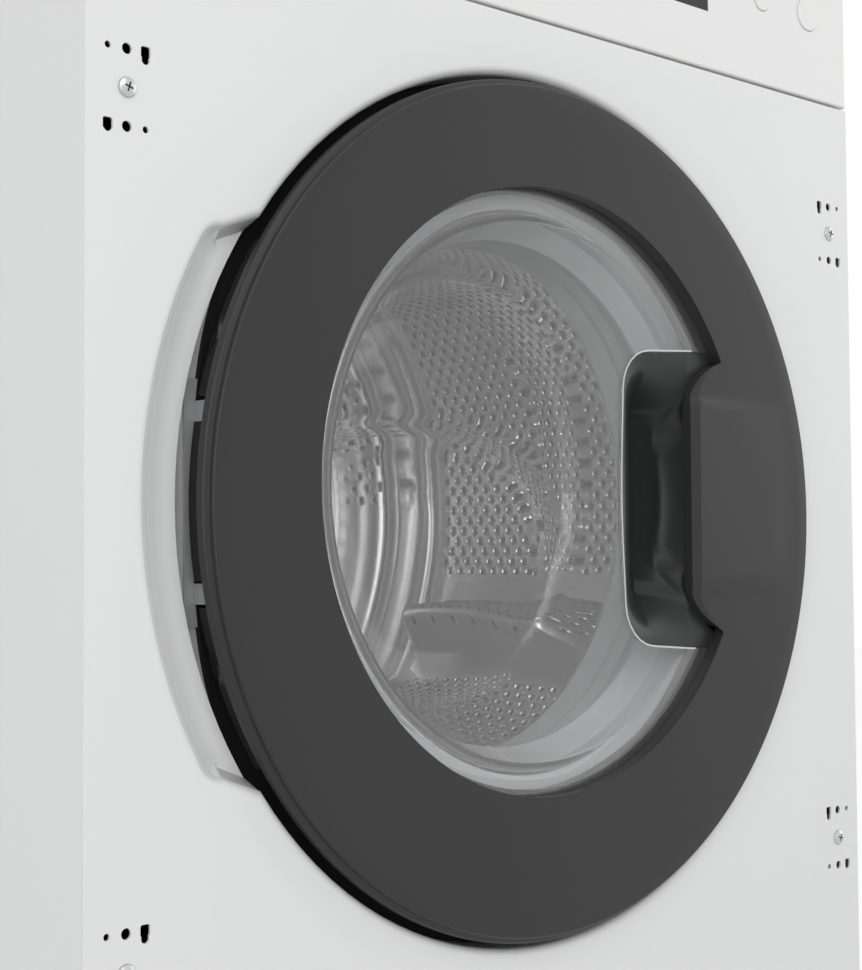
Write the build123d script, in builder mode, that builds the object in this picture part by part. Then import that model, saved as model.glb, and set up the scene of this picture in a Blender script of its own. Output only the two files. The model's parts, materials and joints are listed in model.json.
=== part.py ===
from build123d import *
import math
import os

# Overall sizes, millimetres. X is the width, Y runs into the machine, Z is up
width = 595.0
cabinet_depth = 535.0
sheet = 1.2
flange = 12.0
front_return = 57.5
top_height = 15.0
fascia_height = 114.0
fascia_wall = 3.0
panel_height = 596.0
plinth_height = 88.0
plinth_setback = 45.0
foot_height = 20.0
pan_height = 26.0
panel_gap = 2.0
hose_stub = 12.0

# Door: the ring sits a little lower than the glass that it frames
glass_over_panel = 332.0
glass_r = 168.4
ring_drop = 9.8
ring_x = -0.9
trim_r = 233.5
door_proud = 10.0
face_fall = 3.1
trim_stand = 0.8
crest_round = 3.5
cover_wall = 3.0
glass_wall = 4.5
bowl_neck_r = 157.0
bowl_nose_r = 125.0
bowl_depth = 116.0
door_rear = 19.0
frame_wall = 2.5
frame_margin = 8.5
hinge_margin = 4.0
flange_cover = 3.0

# Recess of the front panel that takes the door's back, deeper at the hinge
dish_r = 227.0
dish_depth = 26.0
bay_r = 240.0
recess_r = 250.0
recess_shift = 14.3
recess_half = 130.5
recess_depth = 17.0
recess_corner = 14.0
porthole_r = 165.0
rim_length = 12.0

# Door hinge
hinge_x = -219.0
hinge_depth = 7.0
pin_r = 3.0
pin_fit = 0.06
knuckle_r = 5.2
lug_offset = 44.0
lug_width = 10.0
lug_gap = 1.5

# Handle pocket and the grip over it
pocket_x = 63.0
pocket_depth = 24.0
pocket_wall = 2.0
grip_x = 112.4
grip_half = 80.0

# Latch
latch_x = 203.0
latch_reach = 44.0
latch_fit = 0.06

# Rows of screw holes for the kitchen door's hinges
cluster_inset = 22.1
cluster_pitch = 10.15
cluster_rows = 35.9
cluster_top = 177.9
cluster_span = 400.0
cluster_hole_r = 2.6
cluster_small_r = 1.65
fixing_head_r = 4.85

# Drum, tub and drive
drum_r = 240.0
drum_sheet = 1.0
drum_front_gap = 22.0
drum_rear_gap = 34.0
drum_mouth_r = 160.0
tub_gap = 22.0
tub_wall = 4.0
tub_front_depth = 88.0
tub_seam_depth = 170.0
tub_mouth_r = 168.0
hub_length = 62.0
shaft_r = 17.5
shaft_tail_r = 15.0
shaft_fit = 0.05
pulley_r = 150.0
motor_pulley_r = 11.0
pulley_rear_gap = 15.0
pulley_hub_gap = 4.0
pulley_width = 16.0
belt_gap = 0.3
belt_thick = 3.0
motor_x = -120.0
motor_drop = 330.0
motor_r = 62.0
motor_length = 135.0
lifter_angle = -22.0
lifter_height = 52.0

# Small fits
slide_gap = 0.5
button_gap = 0.3

half = width / 2
front_y = -(cabinet_depth + hose_stub - door_proud) / 2
panel_bottom = foot_height + plinth_height
panel_top = panel_bottom + panel_height
fascia_bottom = panel_top + panel_gap
height = fascia_bottom + fascia_height
top_bottom = height - top_height
glass_z = panel_bottom + glass_over_panel
ring_z = glass_z - ring_drop
pulley_depth = cabinet_depth - pulley_rear_gap - pulley_width
hub_back = pulley_depth - pulley_hub_gap
tub_rear_depth = hub_back - hub_length
drum_back_depth = tub_rear_depth - drum_rear_gap
drum_front_depth = tub_front_depth + drum_front_gap
motor_z = glass_z - motor_drop
tub_r = drum_r + tub_gap
tub_outer = tub_r + tub_wall
pan_front = plinth_setback + sheet
inner_half = half - sheet
rear_inner = cabinet_depth - sheet

os.makedirs("parts", exist_ok=True)


def facing(depth):
    """Plane that faces the viewer, so far behind the front plane; local axes are X and Z."""
    return Plane(origin=(0, front_y + depth, 0), x_dir=(1, 0, 0), z_dir=(0, -1, 0))


section = Plane(origin=(0, front_y, glass_z), x_dir=(0, 0, 1), z_dir=(-1, 0, 0))
drum_axis = Axis((0, front_y, glass_z), (0, 1, 0))
ring_section = Plane(origin=(ring_x, front_y, ring_z), x_dir=(0, 0, 1), z_dir=(-1, 0, 0))
ring_axis = Axis((ring_x, front_y, ring_z), (0, 1, 0))


def block(x0, x1, near, far, z0, z1, mode=Mode.ADD):
    """Box between two x, two depths behind the front plane and two heights."""
    with Locations(((x0 + x1) / 2, front_y + (near + far) / 2, (z0 + z1) / 2)):
        Box(x1 - x0, far - near, z1 - z0, mode=mode)


def drum_rod(x, z, r, near, far, mode=Mode.ADD):
    """Round bar along Y between two depths."""
    with Locations(Location((x, front_y + (near + far) / 2, z), (90, 0, 0))):
        Cylinder(r, far - near, mode=mode)


def post(x, depth, r, z0, z1, mode=Mode.ADD):
    """Upright round bar between two heights."""
    with Locations((x, front_y + depth, (z0 + z1) / 2)):
        Cylinder(r, z1 - z0, mode=mode)


def bar(x0, x1, depth, z, r, mode=Mode.ADD):
    """Round bar along X."""
    with Locations(Location(((x0 + x1) / 2, front_y + depth, z), (0, 90, 0))):
        Cylinder(r, x1 - x0, mode=mode)


def save(piece, name):
    """Label a finished piece and write its file."""
    piece.part.label = name
    export_step(piece.part, f"parts/{name}.step")


def slice_outline(radius, shift, half_height, corner, grow=0.0):
    """Left-hand slice of a circle by the ring, cut level above and below, with rounded corners."""
    with BuildSketch() as outline:
        with Locations((ring_x - shift, ring_z)):
            Circle(radius + grow)
        with Locations((ring_x - radius, ring_z)):
            Rectangle(radius, 2 * (half_height + grow), mode=Mode.INTERSECT)
        fillet(outline.vertices().sort_by(Axis.X)[:2], corner + grow)
    return outline.sketch


# Front panel: pressed sheet with the door recess, the porthole and the hinge holes
cluster_x = half - cluster_inset
upper_cluster_z = glass_z + cluster_top
lower_cluster_z = upper_cluster_z - cluster_span

with BuildPart() as front_panel:
    block(-half, half, 0, front_return, panel_bottom, panel_top)
    block(-inner_half, inner_half, sheet, front_return,
          panel_bottom + sheet, panel_top - sheet, Mode.SUBTRACT)
    for side in (-1, 1):
        edges_x = sorted((side * half, side * (half - flange)))
        block(edges_x[0], edges_x[1], front_return - sheet, front_return, panel_bottom, panel_top)
    drum_rod(ring_x, ring_z, dish_r + sheet, 0, dish_depth + sheet)
    with BuildSketch(facing(dish_depth + sheet)):
        add(slice_outline(bay_r, 0, recess_half, recess_corner / 2, sheet))
    extrude(amount=dish_depth + sheet)
    with BuildSketch(facing(recess_depth + sheet)):
        add(slice_outline(recess_r, recess_shift, recess_half, recess_corner, sheet))
    extrude(amount=recess_depth + sheet)
    drum_rod(0, glass_z, porthole_r + sheet, dish_depth, dish_depth + rim_length)
    drum_rod(ring_x, ring_z, dish_r, 0, dish_depth, Mode.SUBTRACT)
    with BuildSketch(facing(dish_depth)):
        add(slice_outline(bay_r, 0, recess_half, recess_corner / 2))
    extrude(amount=dish_depth, mode=Mode.SUBTRACT)
    with BuildSketch(facing(recess_depth)):
        add(slice_outline(recess_r, recess_shift, recess_half, recess_corner))
    extrude(amount=recess_depth, mode=Mode.SUBTRACT)
    drum_rod(0, glass_z, porthole_r, 0, dish_depth + rim_length, Mode.SUBTRACT)
    # Slot for the latch hook
    block(latch_x - 17, latch_x + 11, dish_depth - 1, dish_depth + 2, ring_z - 15, ring_z + 15, Mode.SUBTRACT)
    for side in (-1, 1):
        for level in (upper_cluster_z, lower_cluster_z):
            row_top = level + cluster_rows / 2
            row_low = level - cluster_rows / 2
            inner = side * (cluster_x - cluster_pitch)
            outer = side * (cluster_x + cluster_pitch)
            with BuildSketch(facing(sheet)):
                with Locations((side * cluster_x, row_top), (side * cluster_x, row_low)):
                    Circle(cluster_hole_r)
                with Locations((side * cluster_x, level)):
                    Circle(cluster_hole_r - 0.5)
                with Locations((outer, row_top), (inner, row_low)):
                    Circle(cluster_small_r)
                with Locations((inner, row_top), (outer, row_low)):
                    RectangleRounded(2 * cluster_hole_r, 5.6, 1.2)
                with Locations((inner, row_top - 3.6), (outer, row_low - 1.6)):
                    Circle(2.2)
            extrude(amount=sheet, mode=Mode.SUBTRACT)
save(front_panel, "front_panel")

# Side panels with folded edges and the shelf that the tub's springs hang from
spring_x = half - 42.5
spring_depth = 250.0
shelf_z = height - 50.0
lug_top = glass_z + 156.0
damper_x = 200.0
damper_top = glass_z - 205.0

with BuildPart() as left_side_panel:
    block(-half, -inner_half, front_return, rear_inner, foot_height, top_bottom)
    block(-inner_half, -half + flange, front_return, front_return + sheet, foot_height + pan_height, top_bottom)
    block(-inner_half, -half + flange, rear_inner - sheet, rear_inner, foot_height + pan_height, top_bottom)
    block(-inner_half, -half + flange, front_return, rear_inner, top_bottom - sheet, top_bottom)
    block(-inner_half, -spring_x + 18, spring_depth - 30, spring_depth + 30, shelf_z, shelf_z + 2)
    block(-inner_half, -inner_half + 2, spring_depth - 30, spring_depth + 30, shelf_z - 40, shelf_z)
save(left_side_panel, "left_side_panel")

with BuildPart() as right_side_panel:
    mirror(left_side_panel.part, about=Plane.YZ)
save(right_side_panel, "right_side_panel")

with BuildPart() as top_cover:
    block(-half, half, front_return, cabinet_depth, top_bottom, height)
    block(-inner_half, inner_half, front_return, rear_inner, top_bottom, height - sheet, Mode.SUBTRACT)
    top_rim = top_cover.edges().filter_by(Axis.Y).group_by(Axis.Z)[-1]
    fillet(top_rim.sort_by(Axis.X)[0], sheet * 0.8)
    fillet(top_cover.edges().filter_by(Axis.Y).group_by(Axis.Z)[-1].sort_by(Axis.X)[-1], sheet * 0.8)
save(top_cover, "top_cover")

# Rear panel with the service opening, the water inlet and the drain
service_half = 170.0
service_low = 290.0
service_high = 620.0
inlet_x = 72.5 - half
inlet_z = height - 60.0
inlet_r = 13.2
drain_x = half - 47.5
drain_z = 74.0
drain_r = 11.0
stub_gap = 0.6

with BuildPart() as rear_panel:
    block(-half, half, rear_inner, cabinet_depth, foot_height, top_bottom)
    with BuildSketch(facing(cabinet_depth)):
        with Locations((0, (service_low + service_high) / 2)):
            RectangleRounded(2 * service_half, service_high - service_low, 30)
        with Locations((inlet_x, inlet_z)):
            Circle(inlet_r + stub_gap)
        with Locations((drain_x, drain_z)):
            Circle(drain_r + stub_gap)
    extrude(amount=sheet, mode=Mode.SUBTRACT)
save(rear_panel, "rear_panel")

with BuildPart() as rear_service_cover:
    with BuildSketch(facing(cabinet_depth + sheet)):
        with Locations((0, (service_low + service_high) / 2)):
            RectangleRounded(2 * service_half + 30, service_high - service_low + 30, 40)
    extrude(amount=sheet)
    with BuildSketch(facing(cabinet_depth + 6)):
        with Locations((0, (service_low + service_high) / 2)):
            RectangleRounded(2 * service_half - 40, service_high - service_low - 40, 25)
    extrude(amount=6 - sheet)
    with BuildSketch(facing(cabinet_depth + 6 - sheet)):
        with Locations((0, (service_low + service_high) / 2)):
            RectangleRounded(2 * service_half - 43, service_high - service_low - 43, 23)
    extrude(amount=6 - sheet, mode=Mode.SUBTRACT)
    with BuildSketch(facing(cabinet_depth + sheet)):
        with Locations((0, (service_low + service_high) / 2)):
            with GridLocations(2 * service_half + 12, service_high - service_low - 60, 2, 2):
                Circle(2.2)
    extrude(amount=sheet, mode=Mode.SUBTRACT)
save(rear_service_cover, "rear_service_cover")

# Base pan, feet and plinth
foot_x = half - 35.5
foot_front = 90.0
foot_back = cabinet_depth - 35.0
foot_pad_r = 22.0
thread_r = 4.0
thread_fit = 0.08
boss_top = foot_height + 13.0
damper_seat = foot_height + 30.0

with BuildPart() as base_pan:
    block(-inner_half, inner_half, pan_front, rear_inner, foot_height, foot_height + pan_height)
    block(-inner_half + sheet, inner_half - sheet, pan_front + sheet, rear_inner - sheet,
          foot_height + sheet, foot_height + pan_height, Mode.SUBTRACT)
    for side in (-1, 1):
        post(side * foot_x, foot_front, thread_r + 5, foot_height, boss_top)
        post(side * foot_x, foot_front, thread_r + thread_fit, foot_height, boss_top, Mode.SUBTRACT)
        block(side * damper_x - 18, side * damper_x + 18, spring_depth - 16, spring_depth + 16,
              foot_height, damper_seat)
save(base_pan, "base_pan")

for side, name in ((-1, "foot_front_left"), (1, "foot_front_right")):
    with BuildPart() as foot:
        post(side * foot_x, foot_front, foot_pad_r, 0, foot_height - 8)
        fillet(foot.edges().filter_by(GeomType.CIRCLE).group_by(Axis.Z)[-1], 3)
        with BuildSketch(Plane.XY.offset(foot_height - 8)):
            with Locations((side * foot_x, front_y + foot_front)):
                RegularPolygon(10, 6)
        extrude(amount=8 - button_gap)
        post(side * foot_x, foot_front, thread_r, foot_height - 8, foot_height + pan_height - 2)
    save(foot, name)

with BuildPart() as rear_feet:
    for side in (-1, 1):
        post(side * foot_x, foot_back, foot_pad_r, 0, foot_height - 8)
        post(side * foot_x, foot_back, 9, foot_height - 8, foot_height)
save(rear_feet, "rear_feet")

filter_x = 70.0
pump_z = 74.0
filter_r = 26.0
pump_r = 38.0
pump_front = 60.0
pump_back = 190.0

with BuildPart() as kick_plate:
    block(-half, half, plinth_setback, front_return, foot_height, panel_bottom - panel_gap)
    block(-inner_half, inner_half, pan_front, front_return,
          foot_height, panel_bottom - panel_gap - sheet, Mode.SUBTRACT)
    drum_rod(filter_x, pump_z, filter_r + 4, plinth_setback - 1, pan_front + 1, Mode.SUBTRACT)
save(kick_plate, "kick_plate")

# Control panel
drawer_x0 = 17.5 - half
drawer_x1 = drawer_x0 + 130.0
drawer_z0 = fascia_bottom + 16.0
drawer_z1 = height - 22.0
control_z = fascia_bottom + 56.0
knob_x = -70.0
knob_r = 24.0
knob_proud = 9.0
knob_shaft_r = 3.0
window_x0 = 20.0
window_x1 = 150.0
window_half = 20.0
start_x = half - 42.5
power_x = start_x - 50.0
start_r = 11.0
power_r = 8.0
button_travel = 1.5
board_depth = 16.0

with BuildPart() as control_panel:
    block(-half, half, 0, front_return, fascia_bottom, height)
    block(-half + fascia_wall, half - fascia_wall, fascia_wall, front_return,
          fascia_bottom + fascia_wall, height - fascia_wall, Mode.SUBTRACT)
    block(drawer_x0, drawer_x1, 0, fascia_wall, drawer_z0, drawer_z1, Mode.SUBTRACT)
    block(window_x0, window_x1, 0, fascia_wall,
          control_z - window_half, control_z + window_half, Mode.SUBTRACT)
    drum_rod(knob_x, control_z, knob_shaft_r + pin_fit, 0, fascia_wall, Mode.SUBTRACT)
    drum_rod(start_x, control_z, start_r + button_gap, 0, fascia_wall, Mode.SUBTRACT)
    drum_rod(power_x, control_z, power_r + button_gap, 0, fascia_wall, Mode.SUBTRACT)
    front_rim = control_panel.faces().sort_by(Axis.Y)[0].outer_wire().edges()
    fillet(front_rim, 1.5)
save(control_panel, "control_panel")

with BuildPart() as display_window:
    block(window_x0 + button_gap, window_x1 - button_gap, 0.4, fascia_wall,
          control_z - window_half + button_gap, control_z + window_half - button_gap)
    block(window_x0 - 4, window_x1 + 4, fascia_wall, fascia_wall + 1.5,
          control_z - window_half - 4, control_z + window_half + 4)
save(display_window, "display_window")

with BuildPart() as programme_knob:
    drum_rod(knob_x, control_z, knob_r, -knob_proud, -0.4)
    fillet(programme_knob.faces().sort_by(Axis.Y)[0].edges(), 2)
    drum_rod(knob_x, control_z, knob_shaft_r, -0.4, board_depth - 0.4)
    for turn in range(24):
        angle = math.radians(360 / 24 * turn)
        drum_rod(knob_x + knob_r * math.cos(angle), control_z + knob_r * math.sin(angle), 1.2,
                 -knob_proud, -0.4, Mode.SUBTRACT)
    block(knob_x - 0.8, knob_x + 0.8, -knob_proud, -knob_proud + 0.8,
          control_z + knob_r * 0.45, control_z + knob_r * 0.85, Mode.SUBTRACT)
save(programme_knob, "programme_knob")

for button_x, button_r, name in ((start_x, start_r, "start_button"), (power_x, power_r, "power_button")):
    with BuildPart() as button:
        drum_rod(button_x, control_z, button_r, -1, fascia_wall + 0.4)
        fillet(button.faces().sort_by(Axis.Y)[0].edges(), 0.8)
        drum_rod(button_x, control_z, button_r + 2, fascia_wall + 0.4, fascia_wall + 1.6)
        drum_rod(button_x, control_z, 3, fascia_wall + 1.6, board_depth - button_travel - 0.4)
    save(button, name)

with BuildPart() as control_board:
    block(knob_x - 30, start_x + 25, board_depth, board_depth + 14, control_z - 34, control_z + 34)
    block(knob_x - 28, start_x + 23, board_depth + 3, board_depth + 14,
          control_z - 32, control_z + 32, Mode.SUBTRACT)
    for post_x in (knob_x - 26, (power_x + window_x1) / 2, start_x + 21):
        for post_z in (control_z - 29, control_z + 29):
            drum_rod(post_x, post_z, 3.5, fascia_wall, board_depth)
    drum_rod(knob_x, control_z, 8, board_depth, board_depth + 10)
save(control_board, "control_board")

# Detergent drawer in its bay
bay_wall = 2.0
bay_back = 215.0
drawer_back = 202.0

with BuildPart() as drawer_bay:
    block(drawer_x0 - bay_wall, drawer_x1 + bay_wall, fascia_wall, bay_back,
          drawer_z0 - bay_wall, drawer_z1 + bay_wall)
    block(drawer_x0, drawer_x1, fascia_wall, bay_back - bay_wall, drawer_z0, drawer_z1, Mode.SUBTRACT)
    drum_rod((drawer_x0 + drawer_x1) / 2, drawer_z0 + 16, 10, bay_back, bay_back + 14)
    drum_rod((drawer_x0 + drawer_x1) / 2, drawer_z0 + 16, 7.5, bay_back - bay_wall, bay_back + 14, Mode.SUBTRACT)
save(drawer_bay, "drawer_bay")

tray_x0 = drawer_x0 + slide_gap
tray_x1 = drawer_x1 - slide_gap
tray_z0 = drawer_z0 + slide_gap
tray_z1 = drawer_z1 - slide_gap
with BuildPart() as detergent_drawer:
    block(tray_x0, tray_x1, 0.4, fascia_wall + 2, tray_z0, tray_z1)
    block(tray_x0, tray_x1, fascia_wall + 2, drawer_back, tray_z0, tray_z1 - 14)
    cell_edges = (tray_x0 + 2, tray_x0 + 38, tray_x0 + 82, tray_x1 - 2)
    for left, right in zip(cell_edges[:-1], cell_edges[1:]):
        block(left + 1, right - 1, fascia_wall + 5, drawer_back - 3, tray_z0 + 2, tray_z1, Mode.SUBTRACT)
    block(tray_x0 + 30, tray_x1 - 30, 0.4, 2.6, tray_z0 + 6, tray_z0 + 26, Mode.SUBTRACT)
save(detergent_drawer, "detergent_drawer")

# Door ring: one moulding with a dished face, open round the glass, with the grip at the right
grip_points = (
    (150.0, grip_half),
    (143.3, grip_half + 0.6),
    (125.5, 72.3),
    (117.7, 65.0),
    (grip_x, 50.0),
)
with BuildSketch() as grip_shape:
    with BuildLine():
        upper = Spline(*grip_points, tangents=((-1, 0.1), (0, -1)))
        lower = Spline(*[(x, -z) for x, z in reversed(grip_points)], tangents=((0, -1), (1, 0.1)))
        Line(upper @ 1, lower @ 0)
        Polyline(lower @ 1, (190, -grip_half), (190, grip_half), upper @ 0)
    make_face()

with BuildPart() as door_trim:
    with BuildSketch(ring_section):
        with BuildLine():
            crest_in = (trim_r - crest_round, -door_proud)
            Polyline(crest_in, (120, -door_proud + face_fall), (120, -trim_stand), (trim_r, -trim_stand),
                     (trim_r, -door_proud + crest_round))
            RadiusArc((trim_r, -door_proud + crest_round), crest_in, crest_round)
        make_face()
    revolve(axis=ring_axis)
    with BuildSketch(facing(0)):
        with Locations((0, glass_z)):
            Circle(glass_r)
            add(grip_shape.sketch, mode=Mode.SUBTRACT)
    extrude(amount=door_proud, mode=Mode.SUBTRACT)
save(door_trim, "door_trim")

# Clear cover behind the ring, with the cut-out for the handle pocket
pocket_top = 86.8
pocket_low = -91.5
pocket_right = 180.0
cut_gap = 0.4
with BuildSketch() as pocket_shape:
    with BuildLine():
        FilletPolyline(
            (pocket_x + 3.4, pocket_top - 4), (pocket_x - 0.4, -3), (pocket_x + 4, pocket_low + 4.5),
            (pocket_x + 63, pocket_low), (pocket_right, pocket_low), (pocket_right, pocket_top),
            (pocket_x + 63, pocket_top), radius=(24, 600, 26, 200, 0, 0, 200), close=True)
    make_face()
pocket_cut = offset(pocket_shape.sketch, cut_gap)
pocket_inner = offset(pocket_shape.sketch, -pocket_wall)

cover_r = glass_r + flange_cover
cover_back = cover_wall - trim_stand
with BuildPart() as door_cover:
    with BuildSketch(facing(cover_back)):
        with Locations((0, glass_z)):
            Circle(cover_r)
            add(pocket_cut, mode=Mode.SUBTRACT)
    extrude(amount=cover_wall)
save(door_cover, "door_cover")

flange_back = cover_back + 4.0
bowl_inner_r = bowl_neck_r - glass_wall
pocket_limit_r = bowl_nose_r + 15
with BuildPart() as handle_pocket:
    with BuildSketch(facing(cover_back)):
        with Locations((0, glass_z)):
            Circle(cover_r)
            add(pocket_shape.sketch, mode=Mode.INTERSECT)
    extrude(amount=cover_wall)
    with BuildSketch(facing(pocket_depth)):
        with Locations((0, glass_z)):
            Circle(pocket_limit_r)
            add(pocket_shape.sketch, mode=Mode.INTERSECT)
    extrude(amount=pocket_depth - cover_back + cover_wall)
    with BuildSketch(facing(pocket_depth - pocket_wall)):
        with Locations((0, glass_z)):
            Circle(pocket_limit_r - pocket_wall)
            add(pocket_inner, mode=Mode.INTERSECT)
    extrude(amount=pocket_depth - pocket_wall + trim_stand, mode=Mode.SUBTRACT)
save(handle_pocket, "handle_pocket")

# Glass bowl: flange behind the cover, cone and domed nose
nose_round = 22.0
with BuildPart() as door_glass:
    with BuildSketch(section):
        with BuildLine():
            outer_wall = FilletPolyline(
                (bowl_neck_r, flange_back), (bowl_nose_r, bowl_depth - 4), (0, bowl_depth), radius=nose_round)
            inner_wall = FilletPolyline(
                (bowl_inner_r, cover_back), (bowl_nose_r - glass_wall, bowl_depth - 4 - glass_wall),
                (0, bowl_depth - glass_wall), radius=nose_round - glass_wall)
            Line(outer_wall @ 1, inner_wall @ 1)
            Polyline(inner_wall @ 0, (cover_r, cover_back), (cover_r, flange_back), outer_wall @ 0)
        make_face()
    revolve(axis=drum_axis)
save(door_glass, "door_glass")

# Back frame of the door, which is also the hinge housing
frame_r = trim_r - frame_margin
housing_r = trim_r - hinge_margin
ledge_back = flange_back + 3.0
throat_r = bowl_neck_r + 1.5
with BuildSketch() as housing_outline:
    with Locations((ring_x, ring_z)):
        Circle(frame_r)
    add(slice_outline(housing_r, 0, recess_half - 3, 6))
with BuildPart() as door_back_frame:
    with BuildSketch(facing(door_rear)):
        add(housing_outline.sketch)
    extrude(amount=door_rear + trim_stand)
    with BuildSketch(facing(door_rear - frame_wall)):
        offset(housing_outline.sketch, -frame_wall)
    extrude(amount=door_rear - frame_wall + trim_stand, mode=Mode.SUBTRACT)
    drum_rod(0, glass_z, cover_r + 0.4 + frame_wall, -trim_stand, door_rear)
    drum_rod(0, glass_z, cover_r + 0.4, -trim_stand, flange_back, Mode.SUBTRACT)
    drum_rod(0, glass_z, cover_r - 4, ledge_back, door_rear, Mode.SUBTRACT)
    drum_rod(0, glass_z, throat_r, -trim_stand, door_rear, Mode.SUBTRACT)
    # Bosses for the hinge arm and ribs for the latch pin
    for arm_z in (-24, 24):
        drum_rod(hinge_x + 30, ring_z + arm_z, 5, hinge_depth + 3, door_rear)
    for rib in (-1, 1):
        rib_z = sorted((ring_z + rib * 9.6, ring_z + rib * 12.6))
        block(latch_x - 7, latch_x + 7, 4, door_rear, rib_z[0], rib_z[1])
    post(latch_x, 12, 2 + latch_fit, ring_z - 14, ring_z + 14, Mode.SUBTRACT)
    block(latch_x - 15, latch_x + 9, door_rear - frame_wall, door_rear,
          ring_z - 9.5, ring_z + 9.5, Mode.SUBTRACT)
    # Notches that let the fixed lugs reach the hinge pin
    for rib in (-1, 1):
        notch = sorted((ring_z + rib * (lug_offset - lug_width / 2 - lug_gap),
                        ring_z + rib * (lug_offset + lug_width / 2 + lug_gap)))
        block(ring_x - housing_r - 2, hinge_x + knuckle_r + 2.5, -trim_stand, door_rear,
              notch[0], notch[1], Mode.SUBTRACT)
        block(ring_x - housing_r - 2, ring_x - housing_r + 14, door_rear - 2, door_rear,
              *sorted((ring_z + rib * 76, ring_z + rib * 86)), Mode.SUBTRACT)
save(door_back_frame, "door_back_frame")

# Hinge: fixed lugs on the panel, and the arm with its pin on the door
with BuildPart() as hinge_bracket:
    block(hinge_x - 8, hinge_x + 16, dish_depth - 1.5, dish_depth, ring_z - 60, ring_z + 60)
    for rib in (-1, 1):
        lug_z = ring_z + rib * lug_offset
        lug_low = lug_z - lug_width / 2
        lug_high = lug_z + lug_width / 2
        block(hinge_x - 3, hinge_x + 3, hinge_depth, dish_depth - 1.5, lug_low, lug_high)
        post(hinge_x, hinge_depth, knuckle_r, lug_low, lug_high)
        post(hinge_x, hinge_depth, pin_r + pin_fit, lug_low, lug_high, Mode.SUBTRACT)
save(hinge_bracket, "hinge_bracket")

knuckle_half = lug_offset - lug_width / 2 - 0.4
pin_half = lug_offset + lug_width / 2 + 1
with BuildPart() as hinge_arm:
    post(hinge_x, hinge_depth, pin_r, ring_z - pin_half, ring_z + pin_half)
    post(hinge_x, hinge_depth, knuckle_r, ring_z - knuckle_half, ring_z + knuckle_half)
    block(hinge_x, hinge_x + 38, hinge_depth, hinge_depth + 3,
          ring_z - knuckle_half + 3, ring_z + knuckle_half - 3)
save(hinge_arm, "hinge_arm")

# Latch hook on its sprung pin
with BuildPart() as door_latch:
    block(latch_x - 5, latch_x + 5, 6, latch_reach, ring_z - 8, ring_z + 8)
    block(latch_x - 12, latch_x, latch_reach - 7, latch_reach, ring_z - 8, ring_z + 8)
    post(latch_x, 12, 2, ring_z - 12.6, ring_z + 12.6)
save(door_latch, "door_latch")

lock_front = dish_depth + sheet
with BuildPart() as door_lock:
    block(latch_x - 22, latch_x + 16, lock_front, lock_front + 28, ring_z - 36, ring_z + 36)
    block(latch_x - 18, latch_x + 12, lock_front, lock_front + 24, ring_z - 16, ring_z + 16, Mode.SUBTRACT)
    fillet(door_lock.edges().filter_by(Axis.Y), 3)
save(door_lock, "door_lock")

# Screws: one in each hinge cluster, as delivered
with BuildPart() as furniture_screws:
    for side in (-1, 1):
        for level in (upper_cluster_z, lower_cluster_z):
            drum_rod(side * cluster_x, level, fixing_head_r, -2.2, 0)
            drum_rod(side * cluster_x, level, 1.9, -0.5, 10)
            drum_rod(side * cluster_x, level, 1.6, -2.2, -1.2, Mode.SUBTRACT)
save(furniture_screws, "furniture_screws")

# Door seal: folded rubber from the panel's porthole rim to the tub's mouth
seal_gap = 0.3
bowl_slope = (bowl_neck_r - bowl_nose_r) / (bowl_depth - 4 - flange_back)
lip_depth = 36.5
lip_r = bowl_neck_r - (lip_depth - flange_back) * bowl_slope + 0.5
seal_front_r = porthole_r - seal_gap
tub_neck_front = tub_front_depth - 12
with BuildPart() as door_seal:
    with BuildSketch(section):
        with BuildLine():
            Polyline(
                (porthole_r + 7, dish_depth - 4.5),
                (porthole_r + 7, dish_depth - seal_gap),
                (seal_front_r, dish_depth - seal_gap),
                (seal_front_r, 39),
                (porthole_r + 13, 47),
                (porthole_r + 13, 53),
                (porthole_r + 0.5, 60),
                (porthole_r + 0.5, 66),
                (tub_mouth_r - seal_gap, tub_neck_front),
                (tub_mouth_r - seal_gap, tub_front_depth + 2),
                (porthole_r - 1, tub_front_depth + 2),
                (porthole_r - 1, tub_neck_front - 3),
                (porthole_r - 3, 67),
                (porthole_r - 3, 58.5),
                (porthole_r + 9.5, 51.5),
                (porthole_r + 9.5, 48.8),
                (porthole_r - 4.5, 40.5),
                (porthole_r - 4.5, lip_depth),
                (lip_r + 0.7, lip_depth + 3),
                (lip_r, lip_depth),
                (porthole_r - 4.5, dish_depth + 2),
                (porthole_r - 4.5, dish_depth - 4.5),
                close=True,
            )
        make_face()
    revolve(axis=drum_axis)
save(door_seal, "door_seal")

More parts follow.
